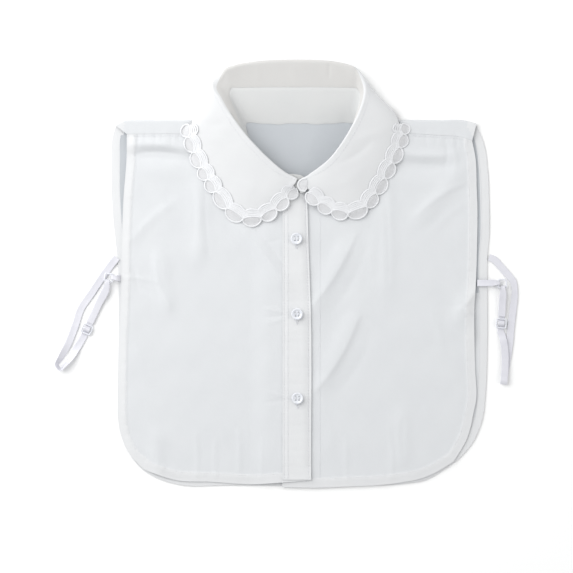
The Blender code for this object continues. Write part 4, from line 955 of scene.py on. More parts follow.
def bumped(tree, shader, *heights):
    """Chains bumps into the shader: (height socket, strength, distance in metres)."""
    normal = None
    for height, strength, distance in heights:
        made = node(tree, "Bump", Height=height, Strength=strength, Distance=distance)
        if normal is not None:
            tree.links.new(normal, made.inputs["Normal"])
        normal = made.outputs["Normal"]
    tree.links.new(normal, shader.inputs["Normal"])


def cotton(name, light, dark):
    """Washed cotton shirting, matt with a slight fuzz: a plain weave, slubs that are
    long across it, and a soft unevenness of tone and surface."""
    material, tree, shader, place = blank(name, Roughness=0.85, Sheen_Weight=0.18,
                                          Sheen_Roughness=0.45, Specular_IOR_Level=0.25)
    # clouds of tone 36 mm wide, slubs 4 mm long and 0.5 mm wide, bumps 8 mm wide
    cloudy = noise(tree, place, 28.0, 3.0, 0.55)
    slubs = noise(tree, node(tree, "Mapping", Vector=place, Scale=(260.0, 1900.0, 900.0))
                  .outputs["Vector"], 1.0, 2.0)
    mixed = node(tree, "Math", {"operation": "MULTIPLY_ADD"}, _0=slubs, _1=0.3,
                 _2=node(tree, "Math", {"operation": "MULTIPLY"}, _0=cloudy, _1=0.7).outputs[0])
    coloured(tree, shader, mixed.outputs[0], colour(light), colour(dark))
    bumped(tree, shader, (threads(tree, place, SHIRTING_PERIOD), 0.35, 0.00006),
           (slubs, 0.2, 0.00008), (noise(tree, place, 120.0, 2.0), 0.35, 0.00035))
    return material


def organza(name, light, dark):
    """Sheer lace ground: fine crossing threads with air between, denser in spots."""
    material, tree, shader, place = blank(name, Roughness=0.6, Sheen_Weight=0.3,
                                          Sheen_Roughness=0.4, Specular_IOR_Level=0.35)
    net = threads(tree, place, ORGANZA_PERIOD)
    spots = noise(tree, place, 420.0, 2.0, 0.6)       # 2.4 mm wide
    cover = node(tree, "MapRange", Value=net, _1=0.25, _2=0.95, _3=0.34, _4=0.62).outputs[0]
    spotted = node(tree, "Math", {"operation": "MULTIPLY_ADD"}, _0=spots, _1=0.08, _2=cover)
    tree.links.new(spotted.outputs[0], shader.inputs["Alpha"])
    coloured(tree, shader, spots, colour(light), colour(dark))
    bumped(tree, shader, (net, 0.5, 0.0001), (spots, 0.3, 0.0002))
    return material


def yarn(name, light, dark, scale):
    """White sewing thread or cord: bright, lightly glossy, with its twist."""
    material, tree, shader, place = blank(name, Roughness=0.55, Sheen_Weight=0.3,
                                          Sheen_Roughness=0.35, Specular_IOR_Level=0.4)
    twist = noise(tree, place, scale, 3.0, 0.6)
    coloured(tree, shader, twist, colour(light), colour(dark))
    bumped(tree, shader, (twist, 0.6, 0.00012))
    return material


def satin(name, light, dark):
    """Narrow satin tape: a smooth face with fine cross ribs and a cool sheen."""
    material, tree, shader, place = blank(name, Roughness=0.42, Sheen_Weight=0.2,
                                          Sheen_Roughness=0.3, Specular_IOR_Level=0.5)
    ribs = node(tree, "TexWave", {"bands_direction": "DIAGONAL"}, Vector=place,
                Scale=BAND_SCALE / SATIN_PERIOD, Distortion=0.6, Detail=1.0).outputs["Fac"]
    cloudy = noise(tree, place, 160.0, 2.0)           # 6 mm wide
    coloured(tree, shader, cloudy, colour(light), colour(dark))
    bumped(tree, shader, (ribs, 0.35, 0.00008), (cloudy, 0.3, 0.0002))
    return material


def plastic(name, light, dark, roughness):
    """Moulded white plastic, glossy, with a faint swirl and rubbed spots."""
    material, tree, shader, place = blank(name, Specular_IOR_Level=0.5, Coat_Weight=0.25,
                                          Coat_Roughness=0.15, Subsurface_Weight=0.08,
                                          Subsurface_Radius=(0.0012, 0.0012, 0.0014))
    swirl = noise(tree, place, 210.0, 3.0, 0.6)       # 5 mm wide, the spots 1 mm
    rough = node(tree, "MapRange", Value=noise(tree, place, 900.0, 2.0), _3=roughness * 0.75,
                 _4=roughness * 1.35).outputs[0]
    tree.links.new(rough, shader.inputs["Roughness"])
    coloured(tree, shader, swirl, colour(light), colour(dark))
    bumped(tree, shader, (swirl, 0.12, 0.0001))
    return material


CLOTH_LOOK = cotton("shirting", "d7d9db", "d0d2d5")
# two or three layers are whiter than one, because less light gets through them; the lighter tone
# is also painted light on the back panel's turned edges, lifting the shade that the fronts cast
# there
DOUBLED_AND_PAINTED_LIGHT_LOOK = cotton("shirting_doubled_painted_light", "dcddde", "d6d7d9")
# painted shade: the leaf's facing is darker and warmer than the shirting, for the shade and warm
# bounce light inside the collar
FACING_PAINTED_SHADE_LOOK = cotton("shirting_facing_painted_shade", "d0cfcd", "c8c7c6")
# painted shade: the stand is coloured darker than the shirting, with faint bluish patches, for the
# shade inside the collar
STAND_PAINTED_SHADE_LOOK = cotton("shirting_stand_painted_shade", "d2d2d1", "c9cbcc")
# painted shade: the back panel's inside face in the neck is coloured darker and bluer than the
# shirting, standing for the shade in the neck hole
NECK_PAINTED_SHADE_LOOK = cotton("shirting_neck_painted_shade", "bcc0c4", "b5b9be")
LACE_LOOK = organza("organza", "f4f4f6", "ecedef")
# the last number is the twists in a metre of the cord and of the finer thread
CORD_LOOK = yarn("satin_cord", "e6e7e9", "dbdcdf", 2600.0)
THREAD_LOOK = yarn("sewing_thread", "dedfe2", "cfd1d5", 3800.0)
TAPE_LOOK = satin("satin", "dbdbe1", "d1d1d9")
BUTTON_LOOK = plastic("button_plastic", "e4e6eb", "d9dce3", 0.28)
FITTING_LOOK = plastic("fitting_plastic", "e2e3e8", "d8dae2", 0.34)


# --- body panels -------------------------------------------------------------------
def along_two(first, second, at):
    """Points along two outlines that meet halfway, at shares 0 to 1 of both."""
    half = at <= 0.5
    return np.vstack((spline(first, 2 * at[half]), spline(second, 2 * at[~half] - 1)))


def finished(obj, solid):
    """Hides the solid that a piece stands for, and gives the piece back."""
    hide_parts(solid)
    return obj


def wall_at(x, y, side):
    """Wall of a front: SHEET, and more where a band is turned back under it."""
    gap = from_edge(x, y, side + "_armhole", side + "_hem")
    return SHEET + BAND_WALL * (1 - smoothstep(gap, 7.5, 10.5))


def middles_of(obj):
    """The middle of every face of a piece, mm, and its normal, as rows X, Y and Z."""
    middles, facing = np.empty((2, len(obj.data.polygons) * 3), np.float32)
    obj.data.polygons.foreach_get("center", middles)
    obj.data.polygons.foreach_get("normal", facing)
    return middles.reshape(-1, 3).T / MM, facing.reshape(-1, 3).T


def make_fronts():
    """Both fronts as closed shells on Coons patches, finer at the bands, which are
    whiter as they are doubled."""
    up = steps((0.0, 0.04, 0.93, 1.0), (20, 208, 26))
    out = steps((0.0, 0.07, 0.5, 1.0), (22, 68, 84))
    back = 1 - out[::-1]
    left = coons(spline(LEFT_ARMHOLE, up), spline(LEFT_FRONT, up), spline(LEFT_HEM, out),
                 along_two(LEFT_SEAM, LEFT_NECK, out))
    right = coons(spline(RIGHT_FRONT, up), spline(RIGHT_ARMHOLE, up), spline(RIGHT_HEM, back),
                  along_two(RIGHT_NECK, RIGHT_SEAM, back))
    made = []
    for side, plan, cloth in (("left", left, left_cloth), ("right", right, right_cloth)):
        wall = wall_at(plan[..., 0], plan[..., 1], side)
        middle = with_height(plan, cloth)
        front = shell("cloth_front_" + side, middle, wall, CLOTH_LOOK)
        front.data.materials.append(DOUBLED_AND_PAINTED_LIGHT_LOOK)
        x, y, _ = middles_of(front)[0]
        turned = ((from_edge(x, y, side + "_armhole") < ARMHOLE_BAND)
                  | (from_edge(x, y, side + "_hem") < HEM_BAND))
        front.data.polygons.foreach_set("material_index", turned.astype(np.int32))
        made.append(finished(front, "front_" + side))
    return made


def with_height(plan, height):
    """Adds a height to plan points."""
    return np.dstack((plan, height(plan[..., 0], plan[..., 1])))


def back_cloth(x, y):
    """Height of the back panel's cloth: on the table, thicker at its turned edges."""
    bands = np.maximum.reduce([band_height(x, y, EDGES[name], width) for name, width in (
        ("back_left", ARMHOLE_BAND), ("back_right", ARMHOLE_BAND), ("back_hem", HEM_BAND))])
    soft = crease_height(x, y, BACK_CREASES) + 0.5 * ripple_height(x, y)
    return BACK_REST + 0.6 * bands + np.maximum(soft, -0.12)


def make_back():
    """The back panel with its shoulders, which turn over in half a circle and come
    forward straight to the seams. Between them it ends at the neckline."""
    up = steps((0.0, 0.04, 1.0), (12, 100))
    shoulder, neck = 40, 36
    left_shoulder = ((-170.5, 147.8), (-162.0, 151.5), (-150.0, SHOULDER_Y),
                     (YOKE_NECK_LEFT, SHOULDER_Y))
    neckline = ((YOKE_NECK_LEFT, SHOULDER_Y), (-30.0, 150.8), (9.5, 150.2), (45.0, 150.8),
                (YOKE_NECK_RIGHT, SHOULDER_Y))
    right_shoulder = ((YOKE_NECK_RIGHT, SHOULDER_Y), (150.0, SHOULDER_Y), (178.0, 151.3),
                      (189.5, 148.6))
    top = np.vstack((spline(left_shoulder, shares(shoulder)), spline(neckline, shares(neck))[1:],
                     spline(right_shoulder, shares(shoulder))[1:]))
    hem = spline(BACK_HEM, shares(2 * shoulder + neck))
    flat = with_height(coons(spline(BACK_LEFT, up), spline(BACK_RIGHT, up), hem, top), back_cloth)
    edge = flat[-1]
    turned = [edge + (0.0, SHOULDER_RADIUS * math.sin(a), SHOULDER_RADIUS * (1 - math.cos(a)))
              for a in np.radians((15, 35, 60, 90, 120, 145, 165, 180))]
    seam = np.zeros((len(edge), 3))
    seam[:shoulder + 1, :2] = spline(LEFT_SEAM, shares(shoulder)) + (0.0, SEAM_CLEAR)
    seam[-shoulder - 1:, :2] = spline(RIGHT_SEAM, shares(shoulder)) + (0.0, SEAM_CLEAR)
    x, y = seam[:, 0], seam[:, 1]
    seam[:, 2] = right_front_height(x, y) + SEAM_LIFT
    flap_start = turned[-1]
    for share in shares(16)[1:]:
        row = flap_start * (1 - share) + seam * share
        row[:, 2] += smoothstep(share, 0.1, 0.9) * (crease_height(row[:, 0], row[:, 1], CREASES)
                                                    + ripple_height(row[:, 0], row[:, 1]))
        turned.append(row)
    grid = np.concatenate((flat, np.array(turned)))
    keep = np.ones((grid.shape[0] - 1, grid.shape[1] - 1), bool)
    keep[len(flat) - 1:, shoulder:shoulder + neck] = False
    # the cells across the neck aren't kept: the flaps run on there, for their normals
    for first, last, from_column in ((shoulder + 1, shoulder + neck // 2, shoulder),
                                     (shoulder + neck // 2, shoulder + neck, shoulder + neck)):
        beyond = edge[first:last] - edge[from_column]
        grid[len(flat):, first:last] = grid[len(flat):, from_column][:, None] + beyond
    back = shell("cloth_back", grid, SHEET, NECK_PAINTED_SHADE_LOOK, keep)
    # the inside of the cloth shows on the flat panel's upper face, in its upper half alone, where
    # it lies in the neck; there it is coloured darker and bluer, painted shade for the shade in
    # the neck hole. The turned bands are doubled and lighter, partly painted light lifting the
    # shade that the fronts cast on them
    inside, outside, doubled = 0, 1, 2
    panel_top, upper_half = 2.6, -20.0
    back.data.materials.append(CLOTH_LOOK)
    back.data.materials.append(DOUBLED_AND_PAINTED_LIGHT_LOOK)
    (x, y, z), facing = middles_of(back)
    band = from_edge(x, y, "back_left", "back_right")
    slots = np.full(len(x), outside, np.int32)
    slots[(band > ARMHOLE_BAND) & (y > upper_half) & (z < panel_top) & (facing[2] > 0)] = inside
    # doubled cloth and painted light: the back's turned edges take the lighter colour, which lifts
    # the shade that the fronts cast on them
    slots[(band < ARMHOLE_BAND) | (from_edge(x, y, "back_hem") < HEM_BAND)] = doubled
    back.data.polygons.foreach_set("material_index", slots)
    return finished(back, "back_panel")


def make_placket():
    """The buttonhole band: down each side a thin ridge where it is turned, and beside
    that a groove, both bells over the distance from the side."""
    cells = 230
    right = spline(LEFT_FRONT, shares(cells))
    right[0, 1], right[-1, 1] = PLACKET_BOTTOM, PLACKET_TOP
    left = np.column_stack((np.full(cells + 1, PLACKET_LEFT), right[:, 1]))
    share = steps((0.0, 0.12, 0.3, 0.8, 1.0), (5, 7, 10, 9))[None, :, None]
    plan = left[:, None, :] * (1 - share) + right[:, None, :] * share
    rim = np.minimum(share, 1 - share)[..., 0] * PLACKET_WIDTH
    middle = with_height(plan, placket_cloth)
    for place, spread, height in (PLACKET_RIDGE, PLACKET_GROOVE):
        middle[..., 2] += height * np.exp(-((rim - place) / spread) ** 2)
    return finished(shell("cloth_placket", middle, SHEET + 0.1, DOUBLED_AND_PAINTED_LIGHT_LOOK),
                    "placket")


# --- collar --------------------------------------------------------------------------
def leaf_surface(round_neck, across):
    """The leaf's middle and its normals at shares round the neck and across it (as in
    leaf_points), with the creases that its outer side and its inside back have."""
    table, knots = collar_sections()
    rows = spline_at(table, knots, round_neck)
    points = leaf_points(rows, across)
    # at the left corner of the neck the wall inside the roll is a wide, round one:
    # from the seam to the roll's top on a parabola that starts steep and ends level
    round_neck, across = np.asarray(round_neck), np.asarray(across, float)
    starts, full, still, ends = WIDE_CORNER
    corner = smoothstep(round_neck, starts, full) * (1 - smoothstep(round_neck, still, ends))
    seam, top = leaf_points(rows, (-2.0, 0.0)).transpose(1, 0, 2)[:, :, None]
    pull = seam + 0.6 * (top - seam) + (0.0, 0.0, 0.3) * (top - seam)[..., 2:]
    t = np.clip(across / 2 + 1, 0.0, 1.0)[None, :, None]
    wide = (1 - t) ** 2 * seam + 2 * t * (1 - t) * pull + t * t * top
    inside = (across < 0)[None, :, None] * corner[:, None, None]
    points = points + inside * (wide - points)
    normals = -normals_of(points)
    x, y = points[..., 0], points[..., 1]
    shown = smoothstep(across, -0.2, 0.35)[None, :]
    behind = 1 - smoothstep(across, -1.15, -0.95)[None, :]
    relief = crease_height(x, y, LEAF_CREASES) * np.maximum(shown, behind * 0.8)
    relief += 0.9 * ripple_height(x, y) * shown
    return points + normals * relief[..., None], normals


def leaf_line(round_neck, share, lift):
    """A line of points on the leaf's outer face, at a share across it."""
    points, normals = leaf_surface(round_neck, (share - 0.03, share, share + 0.03))
    return points[:, 1] + normals[:, 1] * lift


def make_leaf():
    """The leaf: up from the stand's top, over the roll and down to its edge, where a
    seam turned inside makes it thicker. Its wall thins to both rims."""
    across = np.concatenate((np.linspace(-2, -1, 14), np.linspace(-1, 0, 12)[1:],
                             np.linspace(0, 0.88, 24)[1:], np.linspace(0.88, 1, 8)[1:]))
    middle, _ = leaf_surface(shares(ROUND_CELLS), across)
    wall = (SHEET + BAND_WALL * smoothstep(across, 0.86, 0.95)
            - 0.45 * smoothstep(across, 0.985, 1.0))
    wall = wall - 0.35 * (1 - smoothstep(across, -2.0, -1.9))
    leaf = shell("cloth_leaf", middle[:, ::-1], wall[::-1][None, :], DOUBLED_AND_PAINTED_LIGHT_LOOK)
    # up to the roll the leaf's facing shows, coloured darker and warmer than its outer side:
    # painted shade, warmed as bounce light, for the shade inside the collar
    leaf.data.materials.append(FACING_PAINTED_SHADE_LOOK)
    cells = len(across) - 1
    facing = np.tile(np.arange(cells)[::-1] < np.searchsorted(across, -0.6), len(middle) - 1)
    slots = np.zeros(len(leaf.data.polygons), np.int32)
    slots[:2 * len(facing)] = np.tile(facing, 2)
    leaf.data.polygons.foreach_set("material_index", slots)
    return finished(leaf, "collar_leaf")


def make_stand():
    """The stand, straight up from its lower edge to its top, bowed up by
    STAND_BOW sin(pi share) and rippled. Its folded lower edge lies on the back panel
    behind the neck and at its left, and its top meets the leaf."""
    table, knots = collar_sections()
    at = shares(ROUND_CELLS)
    rows = spline_at(table, knots, at)
    neck, top = rows[:, NECK].copy(), rows[:, TOP]
    # at the left the lower edge lies further in, below the leaf's wide inner wall
    neck[:, 0] += 12.5 * smoothstep(at, 0.10, 0.17) * (1 - smoothstep(at, 0.30, 0.44))
    at_left = smoothstep(at, 0.145, 0.19) * (1 - smoothstep(at, 0.30, 0.34))
    at_back = smoothstep(neck[:, 1], 146.0, 150.0)
    rest = back_cloth(neck[:, 0], neck[:, 1]) + SHEET / 2 + STAND_REST
    neck[:, 2] -= np.maximum(at_back, at_left) * (neck[:, 2] - rest)
    wavy = 0.45 * np.sin(neck[:, 0] / 7.1) + 0.3 * np.sin(neck[:, 0] / 2.9 + 1) - 0.6
    neck[:, 1] += at_back * wavy
    # where stand and leaf run on in one line, the top goes in behind the leaf
    seam = unit(np.gradient(top, axis=0))
    down = (neck - top) - ((neck - top) * seam).sum(1)[:, None] * seam
    leaf, leaf_normals = leaf_surface(at, (-2.0, -1.95))
    up_leaf = unit(leaf[:, 1] - leaf[:, 0])
    lapped = (smoothstep(rows[:, NECK][:, 1], 104.0, 124.0)
              * smoothstep(-(unit(down) * up_leaf).sum(1), 0.88, 0.98))[:, None]
    top = top + unit(down) * (0.12 - (0.12 + STAND_LAP) * lapped)
    behind_leaf = -0.26 * lapped * leaf_normals[:, 0]
    share = steps((0.0, 0.1, 0.85, 1.0), (4, 14, 7))[None, :, None]
    stand = neck[:, None, :] * (1 - share) + top[:, None, :] * share
    stand = stand + behind_leaf[:, None, :] * smoothstep(share, 0.88, 0.975)
    stand[:, :, 2] += STAND_BOW * np.sin(math.pi * share[..., 0])
    stand[:, :, 2] += 0.3 * ripple_height(stand[..., 0] * 1.7, stand[..., 1] * 1.7)
    thick = smoothstep(share[..., 0], 0.0, 0.03) * (1 - smoothstep(share[..., 0], 0.93, 0.98))
    wall = STAND_RIM + (SHEET - STAND_RIM) * thick
    # the stand's darker colour is painted shade for the shade inside the collar
    return finished(shell("cloth_stand", stand[:, ::-1], wall[:, ::-1], STAND_PAINTED_SHADE_LOOK),
                    "collar_stand")


def make_stand_ends():
    """The stand's two front ends, lapped: tongues between a lower and an upper edge, in
    planes that rise by TONGUE_SLOPE. The lower one's upper edge, rolled a little, closes
    the neck between the leaf's two ends."""
    made = []
    for name, low, high, base, rolled in STAND_ENDS:
        low, high = spline(low, shares(60)), spline(high, shares(60))
        share = shares(24)[None, :, None]
        tongue = low[:, None, :2] * (1 - share) + high[:, None, :2] * share
        roll = rolled * smoothstep(share[..., 0], 0.75, 0.95) * np.ones(tongue.shape[:2])
        z = base + TONGUE_SLOPE * (tongue[..., 1] - TONGUE_Y) + 1.5 * roll
        # the ends take the stand's darker colour, painted shade for the shade between the leaf's
        # ends
        end = shell("cloth_stand_" + name, np.dstack((tongue, z))[:, ::-1],
                    (TONGUE_WALL + roll)[:, ::-1], STAND_PAINTED_SHADE_LOOK)
        made.append(end)
    return made


# --- lace ----------------------------------------------------------------------------
def scallop_arc(chord, depth, share):
    """Height of a circular arc over its chord, at shares 0 to 1 along the chord."""
    radius = (chord ** 2 / 4 + depth ** 2) / (2 * depth)
    across = (share - 0.5) * chord
    return np.sqrt(radius ** 2 - across ** 2) - np.sqrt(radius ** 2 - chord ** 2 / 4)


def leaf_height(points):
    """Height of the leaf's middle under plan points near its ends: the mean height of
    its own points, with weights exp(-(distance / 1.3)^2)."""
    table, knots = collar_sections()
    leaf = leaf_points(spline_at(table, knots, shares(500)), np.linspace(0.0, 1.0, 40))
    leaf = leaf[leaf[..., 1] < 125.0]
    flat = points.reshape(-1, 2)
    away = ((flat[:, None] - leaf[None, :, :2]) ** 2).sum(2)
    weight = np.exp(-(away - away.min(axis=1)[:, None]) / 1.3 ** 2)
    return ((weight @ leaf[:, 2]) / weight.sum(1)).reshape(points.shape[:-1])


def trim_surface(cusps, lift, pucker, narrow):
    """The middle of a stretch of trim as a close grid: rows at even steps from scallop
    to scallop, columns at REACHES from the leaf's edge, on the leaf below 0 and past
    its edge above. It lies a lift above the leaf, waves by pucker sin(2 pi step) at its
    outer rim, and is narrow by a share at its ends, 0.3 of it further in. Away from the
    points of the collar the outer rim falls towards the front below it. Also gives the
    steps and the normals."""
    table, knots = collar_sections()
    step = shares(40 * (len(cusps) - 1)) * (len(cusps) - 1)
    around = np.interp(step, np.arange(len(cusps)), cusps)
    inner, edge = leaf_points(spline_at(table, knots, around), (0.9, 1.0)).transpose(1, 0, 2)
    across, along = (edge - inner) / 0.1, np.gradient(edge, around, axis=0)
    stride = np.linalg.norm(along, axis=1)
    slant = (across * along).sum(1) / stride
    square = across - (slant / stride)[:, None] * along
    length = np.linalg.norm(square, axis=1)
    out = square / length[:, None]
    off = unit(np.cross(np.gradient(edge, axis=0), out))
    past = unit(out * (1.0, 1.0, TRIM_DROOP))
    ends = np.minimum(step, step[-1] - step)
    reached = 1 - narrow * (1 - 0.7 * smoothstep(ends, 0.4, 2.2))
    columns = []
    for reach in REACHES[:, None] * reached:
        if reach[0] < 0:
            # square to the edge: as far in as across, and along to make up the slant
            there = np.clip(around - reach / length * slant / stride, 0.0, 1.0)
            share = np.maximum(1 + reach / length, 0.03)
            on_leaf = leaf_points(spline_at(table, knots, there), (share,))[:, 0]
            # at the points of the collar, where its sections run nearly along the edge
            at_point = edge + out * reach[:, None]
            near = np.where(edge[:, 1] < 112.0)[0]
            at_point[near, 2] = leaf_height(at_point[near, :2])
            at_point[:, 2] += 0.35 * smoothstep(edge[:, 1], 78.0, 84.0)
            blend = (1 - smoothstep(edge[:, 1], 92.0, 108.0))[:, None]
            columns.append(on_leaf * (1 - blend) + at_point * blend + off * lift)
        else:
            sag = lift - 0.45 * smoothstep(reach, 1.0, 9.0)
            columns.append(edge + off * sag[:, None] + past * reach[:, None])
    grid = np.stack(columns, axis=1)
    x, y = grid[..., 0], grid[..., 1]
    as_leaf = crease_height(x, y, LEAF_CREASES) + 0.9 * ripple_height(x, y)
    wavy = 0.10 * ripple_height(x * 2.2, y * 2.2) + as_leaf * (1 - smoothstep(REACHES, 0.5, 5.0))
    waves = pucker * np.sin(2 * math.pi * step)[:, None] * smoothstep(REACHES, 2.0, 10.0)
    grid = grid + off[:, None] * (wavy + waves)[..., None]
    x, y, z = np.moveaxis(grid, -1, 0)
    under = np.where(x < 0, left_cloth(x, y), right_cloth(x, y)) + TRIM_CLEAR
    away = smoothstep(np.abs(x - 8.0), 14.0, 34.0)
    fallen = z - TRIM_FALL * smoothstep(REACHES, 0.5, 9.5) * away
    grid[..., 2] = np.maximum(np.minimum(z, np.maximum(fallen, under)), TRIM_REST)
    return step, grid, off


def on_trim(surface, step, reach):
    """Points on a stretch of trim at steps and reaches, linear between those of its
    close grid, and their normals."""
    steps_there, grid, off = surface
    i = np.clip(step / steps_there[1], 0, len(steps_there) - 1.001)
    j = np.clip(np.interp(reach, REACHES, np.arange(len(REACHES))), 0, len(REACHES) - 1.001)
    a, b = i.astype(int), j.astype(int)
    u, v = (i - a)[..., None], (j - b)[..., None]
    return ((1 - u) * (1 - v) * grid[a, b] + u * (1 - v) * grid[a + 1, b]
            + (1 - u) * v * grid[a, b + 1] + u * v * grid[a + 1, b + 1]), off[a]


def petal(surface, scallop):
    """The line of one corded petal: the arc of the circle through the ends and the
    outermost point of an outer scallop, carried on to the angles PETAL."""
    radius = (SCALLOP_PITCH ** 2 / 4 + OUTER_DEPTH ** 2) / (2 * OUTER_DEPTH)
    angle = np.radians(np.linspace(*PETAL, 30))
    step = scallop + 0.5 - np.cos(angle) * radius / SCALLOP_PITCH
    return on_trim(surface, step, OUTER_REACH - radius + radius * np.sin(angle))


def cord_along(line, off, half_side, half_up):
    """A flat-lying cord, 8-sided, on the trim's face along a line of points."""
    heading = unit(np.gradient(line, axis=0))
    side = unit(np.cross(heading, off))
    rise = np.cross(side, heading)
    return sweep(line + rise * (CORD_LIES + half_up * 0.5), side * half_side, rise * half_up,
                 8, True)


def corner_loop():
    """The trim's last scallop on the right leaf, which turns its end: an arc about a
    middle, falling with the leaf."""
    turn = np.radians(np.linspace(*LOOP_ENDS, 34))
    x, y = LOOP_X + LOOP_RADIUS * np.cos(turn), LOOP_Y + LOOP_RADIUS * np.sin(turn)
    return np.column_stack((x, y, LOOP_HEIGHT - LOOP_FALL * (LOOP_TOP_Y - y)))


def make_corner():
    """The sheer ground inside that last scallop, straight from its rim to the leaf."""
    loop = corner_loop()
    end = np.column_stack((np.full(len(loop), LOOP_GROUND_X),
                           np.linspace(*LOOP_GROUND_Y, len(loop)), loop[:, 2]))
    share = shares(10)[None, :, None]
    ground = shell("lace_right_corner", loop[:, None] * (1 - share) + end[:, None] * share,
                   GROUND, LACE_LOOK)
    return ground


def make_lace(name, cusps):
    """A stretch of the double-edged trim: a sheer ground between the circular arcs of
    its inner and outer scallops, on the leaf and past its edge. Corded petals rim its
    outer side and run on into it, and a ribbed cord follows its inner scallops."""
    surface = trim_surface(cusps, *(BACK_TRIM if name == "lace_back" else FRONT_TRIM))
    wave = (1 - np.cos(math.pi * shares(SCALLOP_STEPS)[:-1])) / 2
    count = len(cusps) - 1
    step = np.concatenate([k + wave for k in range(count)] + [[float(count)]])
    share = step - np.minimum(np.floor(step), count - 1)
    inner = INNER_REACH - INNER_DEPTH + scallop_arc(SCALLOP_PITCH, INNER_DEPTH, share)
    outer = OUTER_REACH - OUTER_DEPTH + scallop_arc(SCALLOP_PITCH, OUTER_DEPTH, share)
    across = np.concatenate((np.linspace(-1, 0, 8), np.linspace(0, 1, 10)[1:]))
    reach = np.where(across[None, :] < 0, across[None, :] * inner[:, None],
                     across[None, :] * outer[:, None])
    grid, _ = on_trim(surface, np.broadcast_to(step[:, None], reach.shape), reach)
    ground = shell(name + "_ground", grid[:, ::-1], GROUND, LACE_LOOK)
    finished(ground, name)
    share = np.linspace(RIB_START, RIB_END, 24)
    inner = (INNER_REACH - INNER_DEPTH
             + scallop_arc(SCALLOP_PITCH, INNER_DEPTH, np.clip(share, 0, 1))
             - RIB_DIVE * np.maximum(0, -share))
    cords = []
    for k in range(count):
        line, off = petal(surface, k)
        cords.append(cord_along(line, off, CORD_SIDE, CORD_UP))
        for inside, half_side, height in RIBS:
            line, off = on_trim(surface, k + share, inside - inner)
            cords.append(cord_along(line, off, half_side, CORD_UP * height))
    if name == "lace_right":
        cords.append(cord_along(corner_loop(), np.array((0.0, 0.0, 1.0)), CORD_SIDE, CORD_UP))
    cord = mesh_object(name + "_cords", *merged(cords), CORD_LOOK)
    return ground, cord


# --- buttons -------------------------------------------------------------------------
def make_button(index, x, y):
    """A shirt button: its section turned about Z, less four holes, on its band. Gives
    the two rows of thread through the holes, each of two threads."""
    mesh = bpy.data.meshes.new(f"button_{index}_turned")
    mesh.from_pydata([(r * BUTTON_WIDTH / 2 * MM, 0.0, z * BUTTON_HEIGHT * MM)
                      for r, z in BUTTON_PROFILE],
                     [(k, k + 1) for k in range(len(BUTTON_PROFILE) - 1)], [])
    mesh.materials.append(BUTTON_LOOK)
    button = new_object(f"button_{index}_turned", mesh)
    turn = button.modifiers.new("turn", "SCREW")
    turn.axis = "Z"
    turn.steps = turn.render_steps = BUTTON_STEPS
    turn.use_merge_vertices = True
    turn.merge_threshold = 0.01 * MM
    holes = bmesh.new()
    for across in (-0.5, 0.5):
        for along in (-0.5, 0.5):
            made = bmesh.ops.create_cone(holes, cap_ends=True, segments=20,
                                         radius1=BUTTON_HOLE / 2 * MM,
                                         radius2=BUTTON_HOLE / 2 * MM,
                                         depth=3 * BUTTON_HEIGHT * MM)
            bmesh.ops.translate(holes, verts=made["verts"],
                                vec=(across * BUTTON_HOLE_PITCH * MM,
                                     along * BUTTON_HOLE_PITCH * MM, 0.0))
    tool_mesh = bpy.data.meshes.new("holes")
    holes.to_mesh(tool_mesh)
    holes.free()
    tool = new_object("holes", tool_mesh)
    cut = button.modifiers.new("holes", "BOOLEAN")
    cut.operation, cut.object = "DIFFERENCE", tool
    bpy.context.view_layer.update()
    made = bpy.data.meshes.new_from_object(button.evaluated_get(
        bpy.context.evaluated_depsgraph_get()))
    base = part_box(f"button_{index}")[0].z / MM
    made.transform(Matrix.Translation((x * MM, y * MM, base * MM)))
    bpy.data.objects.remove(tool)
    button.modifiers.clear()
    button.data = made
    made.shade_smooth()
    made.set_sharp_from_angle(angle=BUTTON_RIM)
    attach(button, "root")
    finished(button, f"button_{index}")
    well = base + BUTTON_PROFILE[0][1] * BUTTON_HEIGHT
    hold = BUTTON_HOLE_PITCH / 2
    count = len(BUTTON_THREAD)
    parts = []
    for side in (-hold, hold):
        for shift in (-THREAD_APART, THREAD_APART):
            line = np.column_stack((np.full(count, x + side + shift),
                                    y + BUTTON_THREAD[:, 0] * hold,
                                    well + BUTTON_THREAD[:, 1]))
            heading = unit(np.gradient(line, axis=0))
            across = np.tile((1.0, 0.0, 0.0), (count, 1))
            parts.append(sweep(line, across * THREAD_RADIUS,
                               np.cross(across, heading) * THREAD_RADIUS, 8, True))
    return merged(parts)


def make_buttonhole(x, y):
    """A buttonhole along the band: dense satin stitches across both lips of a slit,
    and a bar at each end."""
    parts = []
    count = int(BUTTONHOLE_LENGTH / SATIN_PITCH)
    for k in range(count + 1):
        along = y + BUTTONHOLE_LENGTH * (k / count - 0.5)
        end = k < BAR_STITCHES or k > count - BAR_STITCHES
        for lip in ((0.0,) if end else (-1.0, 1.0)):
            half = BAR_HALF if end else LIP_HALF
            line = np.array([(x + lip * LIP_OFFSET + t * half, along, 0.0)
                             for t in (-1.0, -0.72, 0.0, 0.72, 1.0)])
            above = SHEET / 2 + np.array((-0.05, 0.12, 0.22, 0.12, -0.05))
            line[:, 2] = placket_cloth(line[:, 0], line[:, 1]) + above
            parts.append(sweep(line, np.tile((0.0, SATIN_SIDE, 0.0), (5, 1)),
                               np.tile((0.0, 0.0, SATIN_UP), (5, 1)), 6, True))
    return merged(parts)


